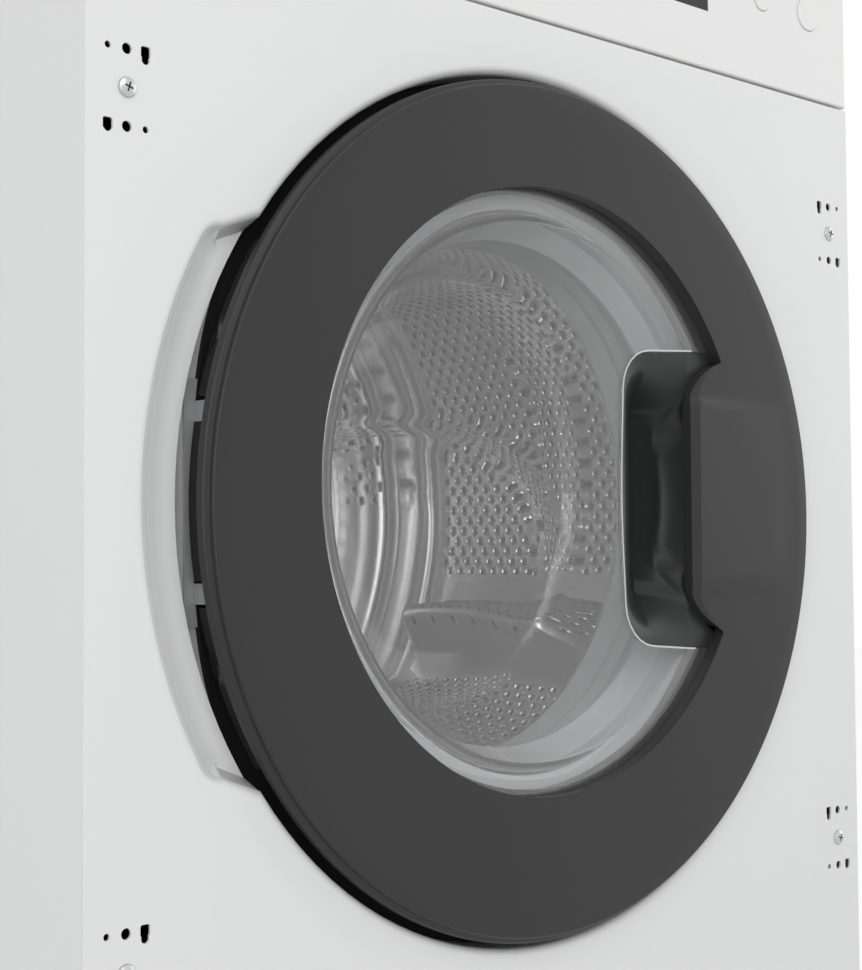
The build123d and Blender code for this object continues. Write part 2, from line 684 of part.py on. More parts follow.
# Tub, front half with its neck, air inlet and sump
duct_x0 = 70.0
duct_x1 = 130.0
duct_near = 105.0
duct_far = 155.0
duct_seat = glass_z + tub_r
sump_x = filter_x
sump_depth = 130.0
sump_r = 18.0
sump_bottom = glass_z - tub_outer - 14.0
tub_flange = 10.0
with BuildPart() as tub_front:
    with BuildSketch(section):
        with BuildLine():
            Polyline(
                (tub_mouth_r, tub_neck_front),
                (tub_mouth_r + tub_wall, tub_neck_front),
                (tub_mouth_r + tub_wall, tub_front_depth),
                (tub_outer, tub_front_depth),
                (tub_outer, tub_seam_depth - 6),
                (tub_outer + tub_flange, tub_seam_depth - 6),
                (tub_outer + tub_flange, tub_seam_depth),
                (tub_r, tub_seam_depth),
                (tub_r, tub_front_depth + tub_wall),
                (tub_mouth_r, tub_front_depth + tub_wall),
                close=True,
            )
        make_face()
    revolve(axis=drum_axis)
    block(duct_x0 - 8, duct_x1 + 8, duct_near, duct_far, glass_z + tub_r * 0.8, duct_seat)
    post(sump_x, sump_depth, sump_r, sump_bottom, glass_z - tub_r * 0.92)
    drum_rod(0, glass_z, tub_r, tub_front_depth + tub_wall, tub_seam_depth, Mode.SUBTRACT)
    block(duct_x0 + 4, duct_x1 - 4, duct_near + 4, duct_far - 4, glass_z + tub_r * 0.7, duct_seat, Mode.SUBTRACT)
    post(sump_x, sump_depth, sump_r - 3, sump_bottom, glass_z - tub_r * 0.8, Mode.SUBTRACT)
save(tub_front, "tub_front")

# Tub, rear half with bearing hub, ribs and the pads that carry the machinery
hub_r = 55.0
seal_seat = (tub_rear_depth - 6.0, tub_rear_depth + 4.0)
front_bearing = (seal_seat[1], seal_seat[1] + 19.0)
rear_bearing = (hub_back - 21.0, hub_back - 5.0)
seal_seat_r = 38.0
front_bearing_r = 36.0
rear_bearing_r = 31.0
weight_seat = glass_z + tub_outer + 6.0
weight_front = 270.0
weight_back = tub_rear_depth - 28.0
weight_x0 = -110.0
weight_x1 = 30.0
weight_inset = 10.0
fan_seat = glass_z + tub_outer - 6.0
fan_x = 150.0
fan_depth = tub_rear_depth - 88.0
motor_back = pulley_depth - 24.0
motor_front = motor_back - motor_length
motor_seat = motor_z + motor_r + 14.0
heater_x = 45.0
heater_r = 4.0
heater_z = glass_z - drum_r - 7.0
with BuildPart() as tub_rear:
    with BuildSketch(section):
        with BuildLine():
            Polyline(
                (tub_r, tub_seam_depth),
                (tub_outer + tub_flange, tub_seam_depth),
                (tub_outer + tub_flange, tub_seam_depth + 6),
                (tub_outer, tub_seam_depth + 6),
                (tub_outer, tub_rear_depth),
                (hub_r, tub_rear_depth),
                (hub_r, hub_back),
                (24, hub_back),
                (24, tub_rear_depth - 6),
                (tub_r, tub_rear_depth - 6),
                close=True,
            )
        make_face()
    revolve(axis=drum_axis)
    block(weight_x0, weight_x1, weight_front + weight_inset, weight_back - weight_inset,
          glass_z + tub_r * 0.8, weight_seat)
    block(fan_x - 40, fan_x + 40, fan_depth - 50, fan_depth + 50, glass_z + tub_r * 0.7, fan_seat)
    block(motor_x - 30, motor_x + 30, motor_front - 5, motor_front + 85, motor_seat, glass_z - tub_r * 0.75)
    for side in (-1, 1):
        lug_x = sorted((side * tub_r * 0.75, side * (spring_x + 13)))
        block(lug_x[0], lug_x[1], spring_depth - 14, spring_depth + 14, lug_top - 12, lug_top)
        block(side * damper_x - 13, side * damper_x + 13, spring_depth - 13, spring_depth + 13,
              damper_top, damper_top + 50)
    drum_rod(0, glass_z, tub_r, tub_seam_depth, tub_rear_depth - 6, Mode.SUBTRACT)
    for rib in range(12):
        angle = math.radians(30 * rib + 15)
        with Locations(Location((105 * math.cos(angle), front_y + tub_rear_depth + 5,
                                 glass_z + 105 * math.sin(angle)), (0, -math.degrees(angle), 0))):
            Box(106, 12, 3.5)
    drum_rod(0, glass_z, seal_seat_r, seal_seat[0], seal_seat[1], Mode.SUBTRACT)
    drum_rod(0, glass_z, front_bearing_r, front_bearing[0], front_bearing[1], Mode.SUBTRACT)
    drum_rod(0, glass_z, rear_bearing_r, rear_bearing[0], hub_back, Mode.SUBTRACT)
    for side in (-1, 1):
        drum_rod(side * heater_x, heater_z, heater_r + 0.3, tub_rear_depth - 8, tub_rear_depth + 2, Mode.SUBTRACT)
save(tub_rear, "tub_rear")

with BuildPart() as shaft_seal:
    drum_rod(0, glass_z, seal_seat_r - 0.02, seal_seat[0] + 1, seal_seat[1])
    drum_rod(0, glass_z, shaft_r + shaft_fit, seal_seat[0], seal_seat[1], Mode.SUBTRACT)
save(shaft_seal, "shaft_seal")

with BuildPart() as drum_bearings:
    for span, outer_r, inner_r in ((front_bearing, front_bearing_r, shaft_r),
                                   (rear_bearing, rear_bearing_r, shaft_tail_r)):
        drum_rod(0, glass_z, outer_r - 0.02, span[0], span[1])
        drum_rod(0, glass_z, inner_r + shaft_fit, span[0], span[1], Mode.SUBTRACT)
    races = drum_bearings.edges().filter_by(GeomType.CIRCLE)
    fillet(races.filter_by(lambda race: race.radius > rear_bearing_r - 1), 1)
save(drum_bearings, "drum_bearings")

with BuildPart() as wash_heater:
    with BuildLine():
        heater_far = front_y + tub_rear_depth + 14
        heater_near = front_y + tub_seam_depth + 50
        FilletPolyline(
            (-heater_x, heater_far, heater_z), (-heater_x, heater_near, heater_z),
            (heater_x, heater_near, heater_z), (heater_x, heater_far, heater_z), radius=18)
    with BuildSketch(Plane(origin=(-heater_x, heater_far, heater_z), z_dir=(0, -1, 0))):
        Circle(heater_r)
    sweep()
    block(-heater_x - 14, heater_x + 14, tub_rear_depth, tub_rear_depth + 4, heater_z - 12, heater_z + 12)
save(wash_heater, "wash_heater")

with BuildPart() as front_counterweight:
    with BuildSketch(facing(tub_front_depth)):
        with Locations((0, glass_z)):
            Circle(tub_outer - 8)
            Circle(tub_mouth_r + 16, mode=Mode.SUBTRACT)
        with Locations((0, glass_z + tub_r)):
            Rectangle(2 * tub_r, tub_r, mode=Mode.SUBTRACT)
    extrude(amount=28)
    fillet(front_counterweight.edges().filter_by(Axis.Y), 8)
save(front_counterweight, "front_counterweight")

with BuildPart() as top_counterweight:
    block(weight_x0, weight_x1, weight_front, weight_back, weight_seat, weight_seat + 56)
    chamfer(top_counterweight.edges().filter_by(Axis.Z), 18)
    fillet(top_counterweight.faces().sort_by(Axis.Z)[-1].edges(), 5)
save(top_counterweight, "top_counterweight")

with BuildPart() as suspension_springs:
    for side in (-1, 1):
        post(side * spring_x, spring_depth, 14, lug_top, shelf_z)
        post(side * spring_x, spring_depth, 10.5, lug_top + 8, shelf_z - 8, Mode.SUBTRACT)
save(suspension_springs, "suspension_springs")

with BuildPart() as shock_absorbers:
    for side in (-1, 1):
        post(side * damper_x, spring_depth, 15, damper_seat, damper_seat + 100)
        post(side * damper_x, spring_depth, 5, damper_seat + 100, damper_top - 13)
        post(side * damper_x, spring_depth, 11, damper_top - 17, damper_top)
save(shock_absorbers, "shock_absorbers")

# Drum: perforated shell, front ring, back plate, spider and shaft
with BuildPart() as drum_shell:
    drum_rod(0, glass_z, drum_r, drum_front_depth, drum_back_depth)
    drum_rod(0, glass_z, drum_r - drum_sheet, drum_front_depth, drum_back_depth, Mode.SUBTRACT)
    hole_rows = 5
    holes_round = 24
    for row in range(hole_rows):
        hole_depth = drum_front_depth + (drum_back_depth - drum_front_depth) * (row + 0.5) / hole_rows
        for turn in range(holes_round // 2):
            angle = 360 / holes_round * (turn + 0.5 * (row % 2))
            with Locations(Location((0, front_y + hole_depth, glass_z), (0, angle, 0))):
                Cylinder(3, 2 * drum_r + 2, mode=Mode.SUBTRACT)
save(drum_shell, "drum_shell")

lip_front = tub_front_depth + tub_wall + 3
with BuildPart() as drum_front:
    with BuildSketch(section):
        with BuildLine():
            Polyline(
                (drum_mouth_r, lip_front + 1.5),
                (drum_mouth_r + 4, lip_front),
                (drum_r - 36, lip_front + 6),
                (drum_r, drum_front_depth - 3),
                (drum_r, drum_front_depth),
                (drum_r - drum_sheet, drum_front_depth),
                (drum_r - 37, lip_front + 7.4),
                (drum_mouth_r + 5, lip_front + 1.6),
                (drum_mouth_r + 1.4, lip_front + 2.6),
                (drum_mouth_r + 1.4, lip_front + 8),
                (drum_mouth_r, lip_front + 8),
                close=True,
            )
        make_face()
    revolve(axis=drum_axis)
save(drum_front, "drum_front")

back_sheet = 1.2
back_dish = 6.0
dish_in = 108.0
with BuildPart() as drum_back:
    with BuildSketch(section):
        with BuildLine():
            Polyline(
                (0, drum_back_depth - back_dish),
                (dish_in, drum_back_depth - back_dish),
                (dish_in + 20, drum_back_depth),
                (drum_r, drum_back_depth),
                (drum_r, drum_back_depth + back_sheet),
                (dish_in + 19.4, drum_back_depth + back_sheet),
                (dish_in - 0.6, drum_back_depth - back_dish + back_sheet),
                (0, drum_back_depth - back_dish + back_sheet),
                close=True,
            )
        make_face()
    revolve(axis=drum_axis)
save(drum_back, "drum_back")

lifter_foot = 30.0
lifter_crown = 11.0
lifter_sheet = 1.5
lifter_inset = 25.0
foot_r = drum_r - drum_sheet - 1.0
crown_r = foot_r - lifter_height
lifter_length = drum_back_depth - drum_front_depth - 2 * lifter_inset
for number in range(3):
    angle = math.radians(lifter_angle + 120 * number)
    radial = Plane(origin=(0, front_y + drum_front_depth + lifter_inset, glass_z),
                   x_dir=(math.cos(angle), 0, math.sin(angle)), z_dir=(0, -1, 0))
    with BuildPart() as lifter:
        with BuildSketch(radial) as lifter_profile:
            Polygon((foot_r, -lifter_foot), (foot_r, lifter_foot), (foot_r - 12, lifter_foot - 4),
                    (crown_r, lifter_crown), (crown_r, -lifter_crown), (foot_r - 12, 4 - lifter_foot), align=None)
        extrude(amount=-lifter_length)
        fillet(lifter.edges().filter_by(Axis.Y).sort_by_distance((0, 0, glass_z))[:2], 8)
        with BuildSketch(radial.offset(-lifter_sheet)):
            Polygon((foot_r + 3, 4 - lifter_foot), (foot_r + 3, lifter_foot - 4), (foot_r - 11, lifter_foot - 7),
                    (crown_r + lifter_sheet + 3, lifter_crown - 2), (crown_r + lifter_sheet + 3, 2 - lifter_crown),
                    (foot_r - 11, 7 - lifter_foot), align=None)
        extrude(amount=-(lifter_length - 2 * lifter_sheet), mode=Mode.SUBTRACT)
        drum_rod(0, glass_z, drum_r - drum_sheet, drum_front_depth, drum_back_depth, Mode.INTERSECT)
    save(lifter, f"lifter_{number + 1}")

spider_back = tub_rear_depth - 8
with BuildPart() as drum_spider:
    drum_rod(0, glass_z, 40, drum_back_depth - back_dish + back_sheet, spider_back)
    with BuildSketch(facing(spider_back - 6)):
        with Locations((0, glass_z)):
            with PolarLocations(0, 3, lifter_angle + 60):
                Polygon((0, -24), (drum_r - 10, -14), (drum_r - 10, 14), (0, 24), align=None)
    extrude(amount=spider_back - 6 - drum_back_depth - back_sheet)
save(drum_spider, "drum_spider")

shaft_step = (front_bearing[1] + rear_bearing[0]) / 2
with BuildPart() as drum_shaft:
    drum_rod(0, glass_z, shaft_r, spider_back, shaft_step)
    drum_rod(0, glass_z, shaft_tail_r, shaft_step, pulley_depth + pulley_width + 4)
    chamfer(drum_shaft.faces().sort_by(Axis.Y)[-1].edges(), 1.5)
save(drum_shaft, "drum_shaft")

web_mid = pulley_depth + pulley_width / 2
with BuildPart() as drum_pulley:
    drum_rod(0, glass_z, pulley_r, pulley_depth, pulley_depth + pulley_width)
    drum_rod(0, glass_z, pulley_r - 6, pulley_depth, web_mid - 2, Mode.SUBTRACT)
    drum_rod(0, glass_z, pulley_r - 6, web_mid + 2, pulley_depth + pulley_width, Mode.SUBTRACT)
    drum_rod(0, glass_z, 26, pulley_depth - 2, pulley_depth + pulley_width)
    with BuildSketch(facing(web_mid + 2)):
        with Locations((0, glass_z)):
            with PolarLocations(88, 6):
                Circle(30)
    extrude(amount=4, mode=Mode.SUBTRACT)
    drum_rod(0, glass_z, shaft_tail_r + 0.02, pulley_depth - 3, pulley_depth + pulley_width + 1, Mode.SUBTRACT)
save(drum_pulley, "drum_pulley")

# Motor, its pulley and the belt
with BuildPart() as motor:
    drum_rod(motor_x, motor_z, motor_r, motor_front, motor_back)
    fillet(motor.edges().filter_by(GeomType.CIRCLE), 6)
    block(motor_x - 28, motor_x + 28, motor_front + 5, motor_front + 75, motor_z + motor_r * 0.8, motor_seat)
    drum_rod(motor_x, motor_z, 20, motor_back, motor_back + 8)
    drum_rod(motor_x, motor_z, 6 + pin_fit, motor_back - 30, motor_back + 8, Mode.SUBTRACT)
save(motor, "motor")

with BuildPart() as motor_pulley:
    drum_rod(motor_x, motor_z, 6, motor_back - 29, pulley_depth + pulley_width)
    drum_rod(motor_x, motor_z, motor_pulley_r, pulley_depth, pulley_depth + pulley_width)
save(motor_pulley, "motor_pulley")

with BuildPart() as drive_belt:
    for grow, mode in ((belt_gap + belt_thick, Mode.ADD), (belt_gap, Mode.SUBTRACT)):
        with BuildSketch(facing(web_mid + 6)):
            with Locations((0, glass_z)):
                Circle(pulley_r + grow)
            with Locations((motor_x, motor_z)):
                Circle(motor_pulley_r + grow)
            make_hull()
        extrude(amount=12, mode=mode)
save(drive_belt, "drive_belt")

# Drain pump with its filter, sump hose and drain pipe
spigot_r = sump_r
hose_low = pump_z + 51.0
with BuildPart() as drain_pump:
    drum_rod(filter_x, pump_z, pump_r, pump_front, pump_back)
    block(filter_x - 26, filter_x + 26, pump_front + 20, pump_back - 20, foot_height + sheet, pump_z)
    post(sump_x, sump_depth, spigot_r, pump_z, hose_low)
    bar(filter_x, filter_x + pump_r + 8, pump_back - 22, pump_z, drain_r)
    drum_rod(filter_x, pump_z, filter_r - 6 + 0.08, pump_front, pump_front + 26, Mode.SUBTRACT)
    post(sump_x, sump_depth, spigot_r - 3, pump_z + 10, hose_low, Mode.SUBTRACT)
    bar(filter_x + 20, filter_x + pump_r + 8, pump_back - 22, pump_z, drain_r - 2.5, Mode.SUBTRACT)
save(drain_pump, "drain_pump")

with BuildPart() as filter_cap:
    drum_rod(filter_x, pump_z, filter_r, plinth_setback - 5, pump_front - button_gap)
    fillet(filter_cap.faces().sort_by(Axis.Y)[0].edges(), 3)
    drum_rod(filter_x, pump_z, filter_r - 6, pump_front - button_gap, pump_front + 22)
    block(filter_x - 4, filter_x + 4, plinth_setback - 13, plinth_setback - 5, pump_z - 22, pump_z + 22)
save(filter_cap, "filter_cap")

ribs = 6
with BuildPart() as sump_hose:
    hose_plane = Plane(origin=(sump_x, front_y + sump_depth, 0), x_dir=(1, 0, 0), z_dir=(0, -1, 0))
    rib_step = (sump_bottom - hose_low) / ribs
    with BuildSketch(hose_plane):
        with BuildLine():
            outline = [(sump_r - 2, hose_low)]
            for rib in range(ribs):
                outline.append((sump_r + 3, hose_low + rib_step * (rib + 0.5)))
                outline.append((sump_r - 2, hose_low + rib_step * (rib + 1)))
            inline = [(r - 2.4, z) for r, z in reversed(outline)]
            Polyline(*outline, *inline, close=True)
        make_face()
    revolve(axis=Axis((sump_x, front_y + sump_depth, 0), (0, 0, 1)))
save(sump_hose, "sump_hose")

with BuildPart() as drain_pipe:
    pipe_start = filter_x + pump_r + 8
    pipe_y = front_y + pump_back - 22
    with BuildLine():
        FilletPolyline((pipe_start, pipe_y, pump_z), (drain_x, pipe_y, pump_z),
                       (drain_x, front_y + cabinet_depth + hose_stub, drain_z), radius=36)
    with BuildSketch(Plane(origin=(pipe_start, pipe_y, pump_z), z_dir=(1, 0, 0))):
        Circle(drain_r)
        Circle(drain_r - 2.5, mode=Mode.SUBTRACT)
    sweep()
    drum_rod(drain_x, drain_z, drain_r + 5, rear_inner - 4, rear_inner)
    drum_rod(drain_x, drain_z, drain_r - 2.5, rear_inner - 5, rear_inner + 1, Mode.SUBTRACT)
save(drain_pipe, "drain_pipe")

# Water inlet valve
with BuildPart() as inlet_valve:
    drum_rod(inlet_x, inlet_z, inlet_r, rear_inner - 6, cabinet_depth + hose_stub)
    drum_rod(inlet_x, inlet_z, inlet_r + 8, rear_inner - 6, rear_inner)
    block(inlet_x - 18, inlet_x + 18, rear_inner - 46, rear_inner - 6, inlet_z - 20, inlet_z + 20)
    drum_rod(inlet_x, inlet_z, inlet_r - 4, rear_inner - 20, cabinet_depth + hose_stub, Mode.SUBTRACT)
    post(inlet_x, rear_inner - 26, 6, inlet_z - 34, inlet_z - 20)
save(inlet_valve, "inlet_valve")

# Drying air path: condenser behind the tub, fan on top, duct to the tub's front
fan_r = 72.0
fan_wall = 3.0
fan_top = fan_seat + 60.0
channel_low = fan_seat + 10.0
channel_high = fan_seat + 55.0
with BuildPart() as fan_housing:
    post(fan_x, fan_depth, fan_r, fan_seat, fan_top)
    block(fan_x - 30, fan_x + 30, fan_depth - 92, fan_depth, channel_low, channel_high)
    block(fan_x + 22, fan_x + 72, fan_depth, tub_rear_depth, channel_low, channel_high)
    post(fan_x, fan_depth, fan_r - fan_wall, fan_seat + fan_wall, fan_top - fan_wall, Mode.SUBTRACT)
    block(fan_x - 27, fan_x + 27, fan_depth - 92, fan_depth, channel_low + 3, channel_high - 3, Mode.SUBTRACT)
    block(fan_x + 25, fan_x + 69, fan_depth, tub_rear_depth, channel_low + 3, channel_high - 3, Mode.SUBTRACT)
    post(fan_x, fan_depth, 30, fan_top, fan_top + 28)
    post(fan_x, fan_depth, 3 + pin_fit, fan_top - fan_wall, fan_top + 12, Mode.SUBTRACT)
save(fan_housing, "fan_housing")

blades = 14
with BuildPart() as fan_impeller:
    post(fan_x, fan_depth, 50, fan_seat + 8, fan_seat + 10.5)
    post(fan_x, fan_depth, 14, fan_seat + 8, fan_seat + 40)
    post(fan_x, fan_depth, 3, fan_seat + 40, fan_top + 11)
    for blade in range(blades):
        angle = 360 / blades * blade
        with Locations(Location((fan_x, front_y + fan_depth, 0), (0, 0, angle))):
            with Locations(Location((38, 0, fan_seat + 24), (0, 0, 35))):
                Box(26, 2, 28)
save(fan_impeller, "fan_impeller")

with BuildPart() as drying_duct:
    with BuildSketch(Plane.XY.offset(channel_low)):
        with BuildLine():
            Polyline(
                (duct_x0, front_y + duct_near), (duct_x1, front_y + duct_near), (duct_x1, front_y + duct_far + 35),
                (fan_x + 30, front_y + fan_depth - 120), (fan_x + 30, front_y + fan_depth - 92),
                (fan_x - 30, front_y + fan_depth - 92), (fan_x - 30, front_y + fan_depth - 110),
                (duct_x0, front_y + duct_far + 45), close=True)
        make_face()
    extrude(amount=channel_high - channel_low)
    block(duct_x0, duct_x1, duct_near, duct_far, duct_seat, channel_low)
    duct_ends = [drying_duct.faces().sort_by(Axis.Y)[-1], drying_duct.faces().sort_by(Axis.Z)[0]]
    offset(amount=-3, openings=duct_ends)
save(drying_duct, "drying_duct")

condenser_x0 = 170.0
condenser_x1 = 235.0
condenser_far = tub_rear_depth + 48.0
condenser_low = glass_z - 110.0
with BuildPart() as condenser:
    block(condenser_x0, condenser_x1, tub_rear_depth, condenser_far, condenser_low, channel_high)
    fillet(condenser.edges().filter_by(Axis.X), 6)
    block(condenser_x0 + 3, condenser_x1 - 3, tub_rear_depth + 3, condenser_far - 3,
          condenser_low + 3, channel_high - 3, Mode.SUBTRACT)
    block(fan_x + 25, fan_x + 69, tub_rear_depth, tub_rear_depth + 3,
          channel_low + 3, channel_high - 3, Mode.SUBTRACT)
save(condenser, "condenser")
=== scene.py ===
"""Built-in washer dryer: finishes, studio and the parts that the eye meets first."""

import json
import logging
import math
from dataclasses import dataclass, field
from enum import Enum

import bmesh
import bpy
from mathutils import Matrix, Vector
from mathutils.geometry import interpolate_bezier


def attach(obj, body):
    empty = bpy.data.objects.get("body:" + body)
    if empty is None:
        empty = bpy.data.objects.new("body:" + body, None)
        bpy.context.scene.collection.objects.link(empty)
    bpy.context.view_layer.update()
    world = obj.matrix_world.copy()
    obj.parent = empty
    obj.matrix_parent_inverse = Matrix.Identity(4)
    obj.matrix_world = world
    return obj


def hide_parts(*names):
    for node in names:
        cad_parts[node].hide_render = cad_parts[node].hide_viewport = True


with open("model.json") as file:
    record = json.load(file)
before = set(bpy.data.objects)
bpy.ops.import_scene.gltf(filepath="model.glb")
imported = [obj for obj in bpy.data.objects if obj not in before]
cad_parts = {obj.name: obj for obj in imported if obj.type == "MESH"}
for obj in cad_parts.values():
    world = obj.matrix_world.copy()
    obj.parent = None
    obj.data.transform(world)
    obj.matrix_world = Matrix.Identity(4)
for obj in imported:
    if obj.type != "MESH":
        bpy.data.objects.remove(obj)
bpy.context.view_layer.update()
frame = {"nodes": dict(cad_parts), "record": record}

logging.basicConfig(level=logging.INFO, format="%(message)s")
log = logging.getLogger("washer_dryer")

MM = 0.001
FRONT = -0.2685
GLASS = Vector((0.0, FRONT, 0.440))
RING = Vector((-0.0009, FRONT, 0.4302))


def linear(code: str) -> tuple[float, float, float, float]:
    """Turn an sRGB hex colour into linear light.

    Args:
        code: The colour as six hex digits after a hash.

    Returns:
        Red, green, blue and an alpha of one.
    """
    parts = [int(code[i:i + 2], 16) / 255 for i in (1, 3, 5)]
    red, green, blue = (p / 12.92 if p <= 0.04045 else ((p + 0.055) / 1.055) ** 2.4 for p in parts)
    return red, green, blue, 1.0


def add_node(tree: bpy.types.NodeTree, kind: str, settings: dict | None = None,
             links: dict | None = None) -> bpy.types.Node:
    """Add a node with its settings and what feeds it.

    Args:
        tree: The material's or the world's node tree.
        kind: The node's type name.
        settings: Values by socket name, socket number or attribute.
        links: Output sockets by the name or number of the input that they feed.

    Returns:
        The new node.
    """
    node = tree.nodes.new(kind)
    plain = {k: v for k, v in (settings or {}).items() if isinstance(k, str) and hasattr(node, k)}
    for key, value in plain.items():
        setattr(node, key, value)
    for key, value in (settings or {}).items():
        if key not in plain:
            node.inputs[key].default_value = value
    for key, source in (links or {}).items():
        tree.links.new(source, node.inputs[key])
    return node


class Grain(Enum):
    """How coarse a moulded surface feels: the size of its grain in metres.

    Real grain is 0.05 to 0.3 mm; it is drawn several times coarser, or it would not show at this distance.
    """

    POLISHED = 0.0004
    SATIN = 0.0009
    STIPPLED = 0.0016


@dataclass(frozen=True)
class Finish:
    """A surface: its name, its colour and how sharply it mirrors."""

    name: str
    colour: str
    roughness: float = 0.4
    shine: float = field(default=0.5, kw_only=True)

    def material(self) -> bpy.types.Material:
        """Make this finish's material once and hand out the same one after."""
        made = bpy.data.materials.get(self.name)
        if made is not None:
            return made
        made = bpy.data.materials.new(self.name)
        made.use_nodes = True
        tree = made.node_tree
        tree.nodes.clear()
        shader = add_node(tree, "ShaderNodeBsdfPrincipled",
                          {"Base Color": linear(self.colour), "Roughness": self.roughness,
                           "Specular IOR Level": self.shine})
        surface = self.dress(tree, shader)
        add_node(tree, "ShaderNodeOutputMaterial", {}, {"Surface": surface})
        return made

    def dress(self, tree: bpy.types.NodeTree, shader: bpy.types.Node) -> bpy.types.NodeSocket:
        """Give the shader this finish's own detail.

        Args:
            tree: The material's nodes.
            shader: The Principled shader, with colour and roughness set.

        Returns:
            The socket that the surface shows.
        """
        return shader.outputs[0]


@dataclass(frozen=True)
class PowderCoat(Finish):
    """White powder coat on sheet steel: a soft sheen with a faint orange peel.

    The peel of a real coat has waves of about a millimetre; it is drawn at 1.8 mm so that it shows.
    """

    peel: float = 0.0018

    def dress(self, tree: bpy.types.NodeTree, shader: bpy.types.Node) -> bpy.types.NodeSocket:
        """Add the orange peel and a hardly visible unevenness of the coat."""
        place = add_node(tree, "ShaderNodeTexCoord")
        peel = add_node(tree, "ShaderNodeTexNoise", {"Scale": 1 / self.peel, "Detail": 1.0},
                        {"Vector": place.outputs["Object"]})
        cloud = add_node(tree, "ShaderNodeTexNoise", {"Scale": 9.0, "Detail": 2.0},
                         {"Vector": place.outputs["Object"]})
        sheen = add_node(tree, "ShaderNodeMapRange",
                         {"To Min": self.roughness - 0.04, "To Max": self.roughness + 0.04},
                         {"Value": cloud.outputs["Fac"]})
        bump = add_node(tree, "ShaderNodeBump", {"Strength": 0.05, "Distance": 0.0002},
                        {"Height": peel.outputs["Fac"]})
        tree.links.new(sheen.outputs[0], shader.inputs["Roughness"])
        tree.links.new(bump.outputs[0], shader.inputs["Normal"])
        return shader.outputs[0]


@dataclass(frozen=True)
class Moulding(Finish):
    """Injection-moulded plastic: an even colour with the tool's fine grain."""

    grain: Grain = Grain.SATIN
    depth: float = 0.00004

    def dress(self, tree: bpy.types.NodeTree, shader: bpy.types.Node) -> bpy.types.NodeSocket:
        """Add the grain of the mould and a slight drift of the gloss."""
        place = add_node(tree, "ShaderNodeTexCoord")
        grain = add_node(tree, "ShaderNodeTexNoise", {"Scale": 1 / self.grain.value, "Detail": 2.0},
                         {"Vector": place.outputs["Object"]})
        flow = add_node(tree, "ShaderNodeTexNoise", {"Scale": 14.0, "Detail": 1.0},
                        {"Vector": place.outputs["Object"]})
        gloss = add_node(tree, "ShaderNodeMapRange",
                         {"To Min": self.roughness * 0.9, "To Max": self.roughness * 1.1},
                         {"Value": flow.outputs["Fac"]})
        bump = add_node(tree, "ShaderNodeBump", {"Strength": 0.3, "Distance": self.depth},
                        {"Height": grain.outputs["Fac"]})
        tree.links.new(gloss.outputs[0], shader.inputs["Roughness"])
        tree.links.new(bump.outputs[0], shader.inputs["Normal"])
        return shader.outputs[0]


@dataclass(frozen=True)
class ClearMoulding(Finish):
    """Clear pressed glass or plastic that lets the lamps through and bends what is behind it."""

    ior: float = 1.5
    lets_through: str = "#f0f4f4"
    clearness: float = 1.0
    mirror: str = "#ffffff"

    def dress(self, tree: bpy.types.NodeTree, shader: bpy.types.Node) -> bpy.types.NodeSocket:
        """Make the body clear, and let lamp light pass it without bending."""
        shader.inputs["Transmission Weight"].default_value = self.clearness
        shader.inputs["IOR"].default_value = self.ior
        shader.inputs["Specular Tint"].default_value = linear(self.mirror)
        path = add_node(tree, "ShaderNodeLightPath")
        open_way = add_node(tree, "ShaderNodeBsdfTransparent", {"Color": linear(self.lets_through)})
        mix = add_node(tree, "ShaderNodeMixShader", {}, {0: path.outputs["Is Shadow Ray"], 1: shader.outputs[0],
                                                         2: open_way.outputs[0]})
        return mix.outputs[0]


@dataclass(frozen=True)
class Metal(Finish):
    """Bare metal: rolled, cast or plated, with the marks of how it was made.

    The marks are drawn at 0.6 to 2 mm, coarser than the real tenths of a millimetre, so that they show.
    """

    line: float = 0.0006
    stretch: tuple[float, float, float] = (1.0, 1.0, 1.0)
    marks: float = 0.00003

    def dress(self, tree: bpy.types.NodeTree, shader: bpy.types.Node) -> bpy.types.NodeSocket:
        """Add rolling lines or the skin of the casting."""
        shader.inputs["Metallic"].default_value = 1.0
        place = add_node(tree, "ShaderNodeTexCoord")
        along = add_node(tree, "ShaderNodeMapping", {"Scale": self.stretch}, {"Vector": place.outputs["Object"]})
        lines = add_node(tree, "ShaderNodeTexNoise", {"Scale": 1 / self.line, "Detail": 3.0},
                         {"Vector": along.outputs[0]})
        rough = add_node(tree, "ShaderNodeMapRange",
                         {"To Min": self.roughness * 0.8, "To Max": self.roughness * 1.25},
                         {"Value": lines.outputs["Fac"]})
        bump = add_node(tree, "ShaderNodeBump", {"Strength": 0.4, "Distance": self.marks},
                        {"Height": lines.outputs["Fac"]})
        tree.links.new(rough.outputs[0], shader.inputs["Roughness"])
        tree.links.new(bump.outputs[0], shader.inputs["Normal"])
        return shader.outputs[0]


